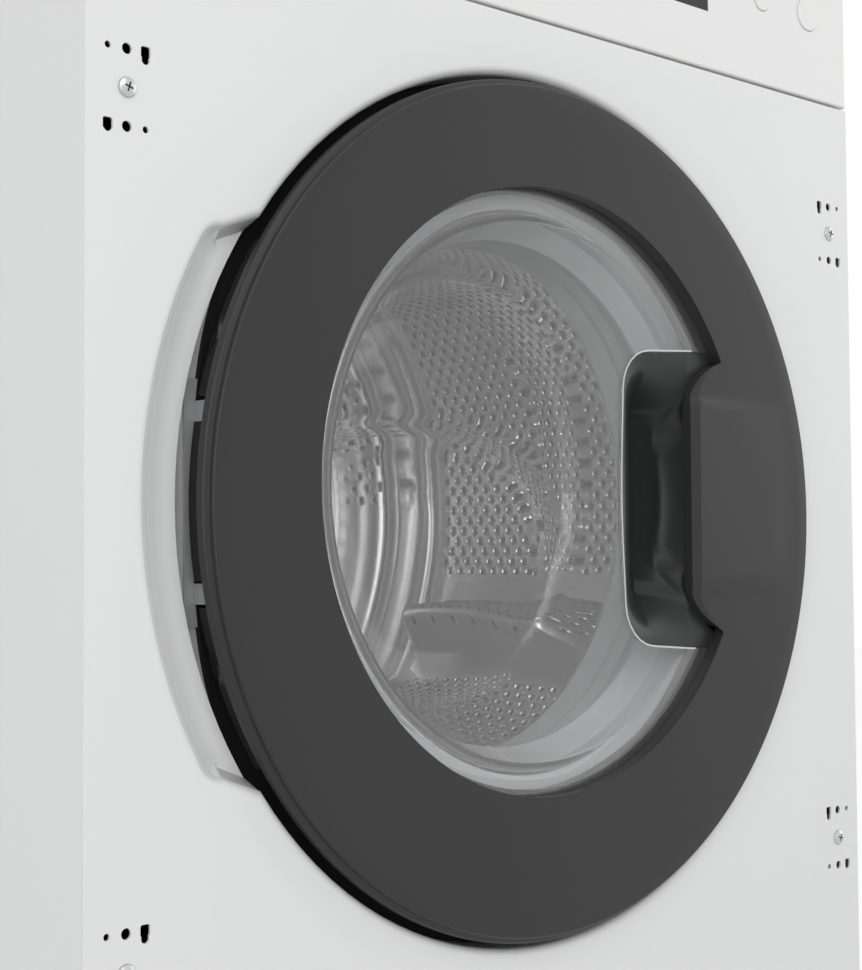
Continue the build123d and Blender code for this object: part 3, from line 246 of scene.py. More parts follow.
@dataclass(frozen=True)
class Galvanised(Finish):
    """Zinc-coated sheet: flat grey with the large dull crystals that grow as the bath cools.

    Real crystals are 5 to 15 mm across, so they are drawn at their own size.
    """

    crystal: float = 0.011

    def dress(self, tree: bpy.types.NodeTree, shader: bpy.types.Node) -> bpy.types.NodeSocket:
        """Give each zinc crystal its own brightness and sheen."""
        shader.inputs["Metallic"].default_value = 1.0
        place = add_node(tree, "ShaderNodeTexCoord")
        drift = add_node(tree, "ShaderNodeTexNoise", {"Scale": 1 / self.crystal, "Detail": 2.0},
                         {"Vector": place.outputs["Object"]})
        bent = add_node(tree, "ShaderNodeVectorMath", {"operation": "MULTIPLY_ADD", 1: (0.006, 0.006, 0.006)},
                        {0: drift.outputs["Color"], 2: place.outputs["Object"]})
        cells = add_node(tree, "ShaderNodeTexVoronoi", {"Scale": 1 / self.crystal}, {"Vector": bent.outputs[0]})
        part = add_node(tree, "ShaderNodeSeparateXYZ", {}, {0: cells.outputs["Color"]})
        tone = add_node(tree, "ShaderNodeMix", {"data_type": "RGBA", 6: linear("#b1b3b5"), 7: linear("#bdbfc1")},
                        {0: part.outputs[0]})
        sheen = add_node(tree, "ShaderNodeMapRange",
                         {"To Min": self.roughness - 0.1, "To Max": self.roughness + 0.1},
                         {"Value": part.outputs[1]})
        tree.links.new(tone.outputs[2], shader.inputs["Base Color"])
        tree.links.new(sheen.outputs[0], shader.inputs["Roughness"])
        return shader.outputs[0]


# Powder coat on sheet steel: an even neutral white with a wide soft sheen and no sharp reflections.
ENAMEL = PowderCoat("white_powder_coat", "#dcdcdc", 0.42)
# Hot-dip galvanised sheet: dull silver grey, mottled by crystals that each mirror a little differently.
GALVANISED = Galvanised("hot_dip_galvanised_sheet", "#b9bbbd", 0.44)
# Injection-moulded white ABS: as white as the coat, a touch glossier.
WHITE_ABS = Moulding("white_abs", "#dededd", 0.38)
# Satin dark grey ABS: a flat charcoal with one broad weak highlight.
RING_ABS = Moulding("dark_grey_abs", "#2f2f2f", 0.34, shine=0.26)
# Gloss black ABS: near black with clear reflections.
BLACK_ABS = Moulding("black_gloss_abs", "#161617", 0.2, Grain.POLISHED)
# Smoked acrylic: a dark grey that only lets a trace of what is behind it through, with blurred reflections.
SMOKED = ClearMoulding("smoked_pmma", "#323333", 0.3, 1.49, "#5a5b5b", 0.2, "#a8a8a8")
# Clear acrylic sheet: seen only by its edges and a weak mirror image, with a trace of haze.
COVER_PMMA = ClearMoulding("clear_pmma", "#f8f8f8", 0.0, 1.49, "#fdfdfd", 0.985)
# Pressed borosilicate glass: thick and clear, it bends the drum behind it; the pressing leaves a light haze.
BOWL_GLASS = ClearMoulding("pressed_borosilicate", "#f7f8f8", 0.0, 1.47, "#fdfdfd", 0.972)
# Black-backed display window: a dark mirror.
WINDOW = Moulding("black_window", "#101113", 0.08, Grain.POLISHED, 0.000005)
# Grey EPDM rubber of the door seal: a matt pale grey that catches light in its folds.
SEAL = Moulding("grey_epdm", "#c2c5c7", 0.5, Grain.STIPPLED)
# Rolled stainless steel: a bright grey with soft but clear reflections.
STAINLESS = Metal("stainless_sheet", "#ececeb", 0.22, 0.0009, (1, 1, 1), 0.000006)
# The lifters' stainless sheet is duller: folding and tumbling laundry have left it satin.
LIFTER_SHEET = Metal("satin_stainless_sheet", "#f4f4f3", 0.34, 0.0009, (1, 1, 1), 0.000006)
# Painted zinc casting of the hinge: a matt light grey.
HINGE_ZINC = Moulding("light_grey_zinc_casting", "#b9babb", 0.45, Grain.STIPPLED)
# Black ABS of the door's back frame: a dark grey-black, satin.
FRAME_ABS = Moulding("black_abs", "#242425", 0.42)
# Black sheet on the dish's floor, fully matt: painted shade for the deep gap round the door, the darkest thing on
# the machine.
SHADE_RING = Moulding("black_painted_shade", "#0c0c0c", 0.8, Grain.STIPPLED)
# Zinc-plated steel of the screws: bright, slightly uneven.
ZINC = Metal("zinc_plated_steel", "#c4c5c6", 0.3, 0.002)
# Sand-cast aluminium: a dull grey skin with a rough grain.
CASTING = Metal("cast_aluminium", "#b3b4b5", 0.5, 0.0016, (1, 1, 1), 0.00012)
# Talc-filled polypropylene of the tub: a matt mid grey.
TUB_PP = Moulding("filled_polypropylene", "#9b9d9f", 0.55, Grain.STIPPLED)
# Polyamide of the small mechanical parts: a matt dark grey.
GREY_PA = Moulding("grey_polyamide", "#6b6d6f", 0.5, Grain.STIPPLED)
# Black EPDM of hoses and feet: matt black.
RUBBER = Moulding("black_epdm", "#1b1b1c", 0.6, Grain.STIPPLED)
# Pale glossy strip along the window's cut-out: a painted highlight, a thin line as bright as the room.
EDGE_HIGHLIGHT = Moulding("painted_edge_highlight", "#c4c5c5", 0.12, Grain.POLISHED, 0.000003)
# Pad-printed ink: flat mid grey with no relief.
MARK_PAINT = Moulding("grey_pad_printing", "#6f7173", 0.5, Grain.POLISHED, 0.000005)
# Opal light guide, lamp off: milky and glossy.
LENS_GREY = Moulding("milky_light_guide", "#c9cccc", 0.15, Grain.POLISHED, 0.000005)
# Cast concrete of the counterweights: warm grey, chalky, with pores.
CONCRETE = Moulding("cast_concrete", "#8f8d88", 0.9, Grain.STIPPLED, 0.0004)
# Stoved black paint of the motor: dark grey with a dull sheen.
MOTOR_COAT = Moulding("black_stoved_paint", "#232426", 0.45)


@dataclass(frozen=True)
class PerforatedSteel(Metal):
    """Stainless drum sheet with rows of drain holes whose rims are pressed outwards; the holes are painted dark grey
    as the shade seen through them.

    The piece's own UV map gives metres round the drum and metres of depth. The holes are drawn at their real
    pitch; the strips beside the lifters and the drum's two edges stay plain.
    """

    around: float = 0.016
    deep: float = 0.0122
    slot: float = 1.0
    hole: float = 0.0021
    rim: float = 0.0046
    pressed: float = 0.0019
    radius: float = 0.239
    first: float = 0.128
    last: float = 0.338
    lifter_at: float = -23.0
    plain_half: float = 11.0

    def dress(self, tree: bpy.types.NodeTree, shader: bpy.types.Node) -> bpy.types.NodeSocket:
        """Add the holes, painted dark grey for the shade seen through them, their pressed rims and the rolled
        sheet's sheen.
        """
        shader.inputs["Metallic"].default_value = 1.0
        unrolled = add_node(tree, "ShaderNodeUVMap", {"uv_map": "unrolled"})
        cell = Vector((self.around, self.deep, 1.0))
        distances = []
        for shift in (0.0, 0.5):
            cells = add_node(tree, "ShaderNodeMapping",
                             {"Location": (shift, shift, 0), "Scale": (1 / cell.x, 1 / cell.y, 1)},
                             {"Vector": unrolled.outputs[0]})
            inside = add_node(tree, "ShaderNodeVectorMath", {"operation": "FRACTION"}, {0: cells.outputs[0]})
            centred = add_node(tree, "ShaderNodeVectorMath", {"operation": "SUBTRACT", 1: (0.5, 0.5, 0)},
                               {0: inside.outputs[0]})
            sized = add_node(tree, "ShaderNodeVectorMath",
                             {"operation": "MULTIPLY", 1: (cell.x, cell.y * self.slot, 0)},
                             {0: centred.outputs[0]})
            distances.append(add_node(tree, "ShaderNodeVectorMath", {"operation": "LENGTH"},
                                      {0: sized.outputs[0]}))
        nearest = add_node(tree, "ShaderNodeMath", {"operation": "MINIMUM"},
                           {0: distances[0].outputs["Value"], 1: distances[1].outputs["Value"]})
        zone = self.zone(tree, unrolled)
        rim = add_node(tree, "ShaderNodeMapRange", {"interpolation_type": "SMOOTHERSTEP", "From Min": self.rim,
                                                   "From Max": self.hole * 0.7, "To Max": 1.0},
                       {"Value": nearest.outputs[0]})
        hole = add_node(tree, "ShaderNodeMapRange", {"From Min": self.hole * 1.15, "From Max": self.hole * 0.85},
                        {"Value": nearest.outputs[0]})
        pressed = add_node(tree, "ShaderNodeMath", {"operation": "MULTIPLY"},
                           {0: rim.outputs[0], 1: zone.outputs[0]})
        shaded_holes = add_node(tree, "ShaderNodeMath", {"operation": "MULTIPLY"},
                           {0: hole.outputs[0], 1: zone.outputs[0]})
        # Where the sheet is open it is painted dark grey: painted shade for the dark space behind the holes.
        tone = add_node(tree, "ShaderNodeMix", {"data_type": "RGBA", 6: linear(self.colour), 7: linear("#3a3b3c")},
                        {0: shaded_holes.outputs[0]})
        bump = add_node(tree, "ShaderNodeBump", {"Strength": 1.0, "Distance": self.pressed, "invert": True},
                        {"Height": pressed.outputs[0]})
        tree.links.new(tone.outputs[2], shader.inputs["Base Color"])
        tree.links.new(bump.outputs[0], shader.inputs["Normal"])
        return shader.outputs[0]

    def zone(self, tree: bpy.types.NodeTree, unrolled: bpy.types.Node) -> bpy.types.Node:
        """Say where the sheet is pierced.

        Args:
            tree: The material's nodes.
            unrolled: The UV node, in metres round the drum and metres of depth.

        Returns:
            A node whose first output is one where there are holes.
        """
        part = add_node(tree, "ShaderNodeSeparateXYZ", {}, {0: unrolled.outputs[0]})
        third = 2 * math.pi * self.radius / 3
        turned = add_node(tree, "ShaderNodeMath", {"operation": "MULTIPLY_ADD", 1: 1 / third,
                                                   2: 0.5 - self.lifter_at / 120 + 3}, {0: part.outputs[0]})
        inside = add_node(tree, "ShaderNodeMath", {"operation": "FRACT"}, {0: turned.outputs[0]})
        away = add_node(tree, "ShaderNodeMath", {"operation": "SUBTRACT", 1: 0.5}, {0: inside.outputs[0]})
        size = add_node(tree, "ShaderNodeMath", {"operation": "ABSOLUTE"}, {0: away.outputs[0]})
        beside = add_node(tree, "ShaderNodeMath", {"operation": "GREATER_THAN", 1: self.plain_half / 120},
                          {0: size.outputs[0]})
        behind = add_node(tree, "ShaderNodeMath", {"operation": "GREATER_THAN", 1: self.first},
                          {0: part.outputs[1]})
        before = add_node(tree, "ShaderNodeMath", {"operation": "LESS_THAN", 1: self.last},
                          {0: part.outputs[1]})
        deep = add_node(tree, "ShaderNodeMath", {"operation": "MULTIPLY"},
                        {0: behind.outputs[0], 1: before.outputs[0]})
        return add_node(tree, "ShaderNodeMath", {"operation": "MULTIPLY"},
                        {0: deep.outputs[0], 1: beside.outputs[0]})


# Drum sheet: bright stainless steel with crisp holes painted dark grey for their shade, whose pressed rims flash on
# one side.
DRUM_SHEET = PerforatedSteel("perforated_stainless", "#f6f6f5", 0.21)
# Drum back: the same steel, polished, so that it mirrors the drum.
BACK_SHEET = PerforatedSteel("drum_back_stainless", "#e2e2e1", 0.15, around=0.02, deep=0.014, hole=0.0022,
                             radius=0.21, first=0.187, last=0.229, plain_half=24.0)
# Crest of a lifter: satin steel with slots punched across it, painted dark grey for their shade.
LIFTER_CREST = PerforatedSteel("slotted_stainless", "#f4f4f3", 0.32, around=0.0235, deep=0.04, slot=0.42,
                               hole=0.0019, rim=0.003, pressed=0.0008, first=0.013, last=0.027, plain_half=0.0)
# Top of a lifter: satin steel with rows of small dimples, each with a dark grey centre of painted shade.
LIFTER_TOP = PerforatedSteel("dimpled_stainless", "#f0f0ef", 0.3, around=0.011, deep=0.011, hole=0.0009,
                             rim=0.0034, pressed=0.0009, first=0.0, last=1.0, plain_half=0.0)

SLOTS = {
    "white_enamel": ENAMEL, "galvanised": GALVANISED, "white_plastic": WHITE_ABS, "dark_ring": RING_ABS,
    "black_frame": BLACK_ABS, "smoked_cup": SMOKED, "clear_cover": COVER_PMMA, "clear_glass": BOWL_GLASS,
    "window": WINDOW, "seal_rubber": SEAL, "steel": STAINLESS, "zinc": ZINC, "cast_aluminium": CASTING,
    "tub_plastic": TUB_PP, "grey_plastic": GREY_PA, "black_rubber": RUBBER, "concrete": CONCRETE,
    "motor_steel": MOTOR_COAT,
}

SPECIAL = {"hinge_bracket": HINGE_ZINC, "hinge_arm": HINGE_ZINC, "door_back_frame": FRAME_ABS}


def dress_nodes() -> None:
    """Give every carried-over solid the finish of its material slot."""
    for part in frame["record"]["subparts"]:
        node = frame["nodes"][part["node"]]
        finish = SPECIAL.get(part["node"], SLOTS[part["material_slot"]])
        node.data.materials.clear()
        node.data.materials.append(finish.material())
        log.info("%s: %s", part["node"], finish.name)


def finish_piece(name: str, shape: bmesh.types.BMesh, finish: Finish, body: str,
                 nodes: tuple[str, ...] = (), smooth: float = 35.0) -> bpy.types.Object:
    """Turn a shape into a dressed piece that rides on its body.

    Args:
        name: The piece's name.
        shape: The bmesh, in metres in the shared frame. It is freed.
        finish: What the piece is made of.
        body: The moving body that it rides on.
        nodes: The solids that it stands for.
        smooth: Edges sharper than this many degrees stay sharp.

    Returns:
        The new object.
    """
    mesh = bpy.data.meshes.new(name)
    for edge in shape.edges:
        edge.smooth = not edge.is_manifold or edge.calc_face_angle(0.0) < math.radians(smooth)
    for face in shape.faces:
        face.smooth = True
    shape.to_mesh(mesh)
    shape.free()
    piece = bpy.data.objects.new(name, mesh)
    bpy.context.scene.collection.objects.link(piece)
    mesh.materials.append(finish.material())
    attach(piece, body)
    if nodes:
        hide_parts(*nodes)
    log.info("%s: %d faces, %s", name, len(mesh.polygons), finish.name)
    return piece


def join(shape: bmesh.types.BMesh, part: bmesh.types.BMesh) -> None:
    """Add a finished part to a shape.

    Args:
        shape: The mesh that gets it.
        part: What is added. It is freed.
    """
    mesh = bpy.data.meshes.new("part")
    part.to_mesh(mesh)
    part.free()
    shape.from_mesh(mesh)
    bpy.data.meshes.remove(mesh)


def grow_rim(shape: bmesh.types.BMesh, rim: list[bmesh.types.BMEdge]) -> list[bmesh.types.BMEdge]:
    """Extrude a rim once.

    Args:
        shape: The mesh that the rim belongs to.
        rim: The rim's edges.

    Returns:
        The edges of the new rim.
    """
    grown = bmesh.ops.extrude_edge_only(shape, edges=rim)
    return [item for item in grown["geom"] if isinstance(item, bmesh.types.BMEdge)]


def corners_of(rim: list[bmesh.types.BMEdge]) -> set[bmesh.types.BMVert]:
    """Collect the points that a rim's edges join."""
    return {vert for edge in rim for vert in edge.verts}


def lathe(profile: list[tuple[float, float]], centre: Vector, steps: int,
          closed: bool = True) -> bmesh.types.BMesh:
    """Turn a profile about the axis that runs into the machine.

    Args:
        profile: Radius and depth behind the front plane, in millimetres.
        centre: A point of the axis on the front plane, in metres.
        steps: How many parts the full turn has.
        closed: Join the profile's last point to its first.

    Returns:
        The turned shape, with its faces pointing outwards.
    """
    shape = bmesh.new()
    points = [shape.verts.new(centre + Vector((0, depth * MM, radius * MM))) for radius, depth in profile]
    pairs = list(zip(points, points[1:])) + ([(points[-1], points[0])] if closed else [])
    edges = [shape.edges.new(pair) for pair in pairs]
    bmesh.ops.spin(shape, geom=points + edges, cent=centre, axis=(0, 1, 0), angle=2 * math.pi, steps=steps,
                   use_merge=True, use_duplicate=False)
    bmesh.ops.remove_doubles(shape, verts=shape.verts, dist=1e-6)
    bmesh.ops.recalc_face_normals(shape, faces=shape.faces)
    return shape


def rounded_profile(corners: list[tuple[float, float, float]],
                    segments: int = 6) -> list[tuple[float, float]]:
    """Round the corners of an open profile.

    Args:
        corners: Two coordinates and the rounding radius of each corner, in millimetres.
        segments: How many parts each rounding has.

    Returns:
        The points of the rounded profile.
    """
    done = [Vector(corners[0][:2])]
    for before, here, after in zip(corners, corners[1:], corners[2:]):
        spot = Vector(here[:2])
        back, on = (Vector(before[:2]) - spot).normalized(), (Vector(after[:2]) - spot).normalized()
        half = back.angle(on) / 2
        if here[2] <= 0 or half > 1.56:
            done.append(spot)
            continue
        start, end = spot + back * here[2] / math.tan(half), spot + on * here[2] / math.tan(half)
        middle = spot + (back + on).normalized() * here[2] / math.sin(half)
        first, sweep = start - middle, (start - middle).angle_signed(end - middle)
        for step in range(segments + 1):
            turn = Matrix.Rotation(-sweep * step / segments, 2)
            done.append(middle + turn @ first)
    done.append(Vector(corners[-1][:2]))
    return [(point.x, point.y) for point in done]


def ease(value: float, start: float, end: float) -> float:
    """Rise smoothly from nought at start to one at end.

    Args:
        value: Where to read the ramp.
        start: Where it leaves nought; it may lie above end for a falling ramp.
        end: Where it reaches one.

    Returns:
        The ramp's height there.
    """
    part = min(1.0, max(0.0, (value - start) / (end - start)))
    return part * part * (3 - 2 * part)


def curve_points(knots: list[tuple[float, float]], resolution: int = 9) -> list[tuple[float, float]]:
    """Draw smooth curves through knots that stand with their handles between them.

    Args:
        knots: Knot, two handles, knot, two handles and so on, in millimetres.
        resolution: How many points each span has.

    Returns:
        The points of the whole curve.
    """
    done = []
    for at in range(0, len(knots) - 1, 3):
        span = interpolate_bezier(*(Vector((*knot, 0.0)) for knot in knots[at:at + 4]), resolution)
        done += [(point.x, point.y) for point in span[1 if done else 0:]]
    return done


def wire(shape: bmesh.types.BMesh, points: list[tuple[float, float]], depth: float,
         centre: Vector = GLASS) -> list[bmesh.types.BMEdge]:
    """Lay a closed outline at one depth.

    Args:
        shape: The mesh that gets it.
        points: Right and up from the centre, in millimetres.
        depth: Depth behind the front plane, in millimetres.
        centre: The point that the outline is drawn about.

    Returns:
        The outline's edges, in order.
    """
    verts = [shape.verts.new(centre + Vector((x, depth, z)) * MM) for x, z in points]
    return [shape.edges.new(pair) for pair in zip(verts, verts[1:] + verts[:1])]


def plate(points: list[tuple[float, float]], near: float, far: float, rounding: float,
          centre: Vector = GLASS) -> bmesh.types.BMesh:
    """Cut a flat plate with softly rounded edges.

    Args:
        points: The closed outline, right and up from the centre, in millimetres.
        near: Depth of the front face, in millimetres.
        far: Depth of the back face, in millimetres.
        rounding: How much the edges are rounded, in millimetres.
        centre: The point that the outline is drawn about.

    Returns:
        The closed plate.
    """
    shape = bmesh.new()
    edges = wire(shape, points, near, centre)
    made = bmesh.ops.contextual_create(shape, geom=edges)
    grown = bmesh.ops.extrude_face_region(shape, geom=made["faces"], use_keep_orig=True)
    moved = [item for item in grown["geom"] if isinstance(item, bmesh.types.BMVert)]
    bmesh.ops.translate(shape, verts=moved, vec=(0, (far - near) * MM, 0))
    bmesh.ops.recalc_face_normals(shape, faces=shape.faces)
    if rounding > 0:
        flats = [face for face in shape.faces if abs(face.normal.y) > 0.99]
        rims = list({edge for face in flats for edge in face.edges})
        bmesh.ops.bevel(shape, geom=rims, offset=rounding * MM, offset_type="OFFSET", segments=3, profile=0.5,
                        affect="EDGES", material=-1)
        flats = [face for face in shape.faces if abs(face.normal.y) > 0.99]
        bmesh.ops.inset_region(shape, faces=flats, thickness=0.2 * MM, depth=0)
    return shape


def split_long(profile: list[tuple[float, float]], longest: float) -> list[tuple[float, float]]:
    """Put points on a profile's long runs, so that the turned surface can be shaped.

    Args:
        profile: The profile's points, in millimetres.
        longest: The longest run that stays, in millimetres.

    Returns:
        The profile with its new points.
    """
    done = [profile[0]]
    for before, after in zip(profile, profile[1:]):
        parts = max(1, math.ceil(math.dist(before, after) / longest))
        run = after[0] - before[0], after[1] - before[1]
        done += [(before[0] + run[0] * part / parts, before[1] + run[1] * part / parts)
                 for part in range(1, parts + 1)]
    return done


def unroll(shape: bmesh.types.BMesh, radius: float, flat: bool = False) -> None:
    """Give a turned sheet a UV map in metres: how far round it lies, and how deep or how far out.

    Args:
        shape: The turned sheet.
        radius: The radius at which the way round is measured, in millimetres.
        flat: Measure outwards from the axis in place of into the machine.
    """
    sheet = shape.loops.layers.uv.new("unrolled")
    for face in shape.faces:
        middle = face.calc_center_median() - GLASS
        around = math.atan2(middle.z, middle.x)
        for loop in face.loops:
            spot = loop.vert.co - GLASS
            turn = math.atan2(spot.z, spot.x)
            turn += round((around - turn) / (2 * math.pi)) * 2 * math.pi
            loop[sheet].uv = (turn * radius * MM, spot.xz.length if flat else spot.y)


@dataclass
class Drum:
    """The steel drum: pierced wall, rolled mouth, back plate and lifters."""

    radius: float = 239.0
    sheet: float = 1.0
    front: float = 110.0
    back: float = 404.0
    mouth: float = 164.0
    mouth_depth: float = 88.0
    lifter_angle: float = -22.0
    lifter_front: float = 135.0
    lifter_back: float = 345.0
    lifter_height: float = 52.0
    lifter_low: float = -50.0
    lifter_high: float = 21.0

    def build(self) -> None:
        """Make the drum's visible sheets."""
        self.wall()
        self.lip()
        self.back_plate()
        for number in range(3):
            self.lifter(number)

    def wall(self) -> None:
        """Roll the pierced wall, with two beads before the seam with the back plate."""
        outer = self.radius + self.sheet
        inside = [(self.radius, self.front)]
        for bead in (350.0, 369.0):
            inside += [(self.radius, bead - 6), (self.radius - 1.2, bead - 3.5), (self.radius - 3.2, bead),
                       (self.radius - 1.2, bead + 3.5), (self.radius, bead + 6)]
        inside += [(self.radius, self.back - 12), (self.radius - 1.5, self.back - 6),
                   (self.radius - 6, self.back - 0.6)]
        shape = lathe(split_long(inside, 12.0) + [(outer, self.back - 0.6), (outer, self.front)], GLASS, 180)
        unroll(shape, self.radius)
        finish_piece("drum_wall", shape, DRUM_SHEET, "drum", ("drum_shell",))

    def lip(self) -> None:
        """Turn the front ring, whose mouth is rolled into a shiny lip."""
        rolled = [(self.mouth + 3.2 + 3.2 * math.cos(math.radians(turn)),
                   self.mouth_depth + 3.2 + 3.2 * math.sin(math.radians(turn))) for turn in range(90, 300, 15)]
        front = rounded_profile([(self.mouth + 6, self.mouth_depth + 0.1, 0), (206.0, 101.0, 12.0),
                                 (238.8, 107.2, 5.0), (240.0, self.front + 1, 0)])
        back = [(239.2, self.front + 1), (237.6, 109.4), (206.0, 102.4), (self.mouth + 8, 97.4)]
        shape = lathe(rolled + front + back, GLASS, 180)
        finish_piece("drum_lip", shape, STAINLESS, "drum", ("drum_front",))

    def back_plate(self) -> None:
        """Press the back plate: ring bead, dished middle and three raised arms between the pierced fields."""
        face = rounded_profile([(238.8, self.back - 0.6, 0), (232.0, self.back, 3), (226.0, self.back - 3.5, 4),
                                (180.0, self.back - 3.5, 4), (172.0, self.back - 7.5, 4), (96.0, self.back - 7.5, 5),
                                (84.0, self.back - 13.0, 5), (0.0, self.back - 13.0, 0)], 4)
        face = split_long(face, 6.0)
        rear = [(r, d + 1.2) for r, d in face if r > 0][::-1]
        shape = lathe(face + [(0.0, self.back - 11.8)] + rear, GLASS, 180)
        for vert in shape.verts:
            spot = (vert.co - GLASS) / MM
            radius, angle = math.hypot(spot.x, spot.z), math.degrees(math.atan2(spot.z, spot.x))
            off = (angle - self.lifter_angle - 60 + 60) % 120 - 60
            across = radius * math.sin(math.radians(off))
            arm = ease(abs(across), 30.0, 20.0) * ease(radius, 214.0, 198.0) * ease(radius, 60.0, 86.0)
            vert.co.y -= 6.0 * arm * MM
        unroll(shape, 210.0, flat=True)
        finish_piece("drum_back_plate", shape, BACK_SHEET, "drum", ("drum_back",), 50)

    def lifter(self, number: int) -> None:
        """Fold one lifter: a smooth steep side, a slotted wavy crest and a dimpled top.

        Args:
            number: Which of the three.
        """
        crest = self.lifter_height
        section = curve_points([(self.lifter_low, 0.0), (self.lifter_low + 5, 2.0), (self.lifter_low + 12, 8.0),
                                (-33.0, 20.0), (-26.0, 30.0), (-20.0, 38.0), (-15.0, 45.5),
                                (-12.5, 49.5), (-9.5, crest), (-5.0, crest),
                                (-1.0, crest), (2.0, crest - 2), (4.0, crest - 7),
                                (9.0, 34.0), (12.0, 20.0), (15.0, 7.0), (17.0, 2.0), (19.0, 0.0),
                                (self.lifter_high, 0.0)], 7)
        lengths = [0.0]
        for before, after in zip(section, section[1:]):
            lengths.append(lengths[-1] + math.dist(before, after))
        rows = 44
        shape = bmesh.new()
        grid = bmesh.ops.create_grid(shape, x_segments=rows, y_segments=len(section) - 1, size=0.5)["verts"]
        sheet = shape.loops.layers.uv.new("unrolled")
        for face in shape.faces:
            for loop in face.loops:
                along = loop.vert.co.x + 0.5
                across = lengths[round((loop.vert.co.y + 0.5) * (len(section) - 1))]
                loop[sheet].uv = ((self.lifter_back - self.lifter_front) * along * MM, (across - 40.0) * MM)
        for face in shape.faces:
            across = lengths[round((face.calc_center_median().y + 0.5) * (len(section) - 1))]
            face.material_index = 0 if across < 53 else 1 if across < 72 else 2
        middle = math.radians(self.lifter_angle + 120 * number)
        for vert in grid:
            along = vert.co.x + 0.5
            shift, height = section[round((vert.co.y + 0.5) * (len(section) - 1))]
            rise = height / crest
            ends = ease(along, 0.0, 0.17) * ease(along, 1.0, 0.9)
            wave = -15.0 * ease(along, 0.62, 0.0) - 4.0 * ease(along, 0.75, 1.0)
            bow = 5.0 * math.sin(math.pi * along)
            shift = shift * (0.75 + 0.25 * ends) + wave * rise
            height = height * ends * (0.9 + bow / crest)
            radius = self.radius - 0.4 - height
            angle = middle + shift / self.radius
            depth = self.lifter_front + (self.lifter_back - self.lifter_front) * (
                0.5 + (along - 0.5) * (1 - 0.06 * rise))
            vert.co = GLASS + Vector((radius * math.cos(angle), depth, radius * math.sin(angle))) * MM
        bmesh.ops.recalc_face_normals(shape, faces=shape.faces)
        bmesh.ops.solidify(shape, geom=shape.faces[:], thickness=1.0 * MM)
        piece = finish_piece(f"lifter_sheet_{number + 1}", shape, LIFTER_SHEET, "drum",
                             (f"lifter_{number + 1}",), 60)
        piece.data.materials.append(LIFTER_CREST.material())
        piece.data.materials.append(LIFTER_TOP.material())


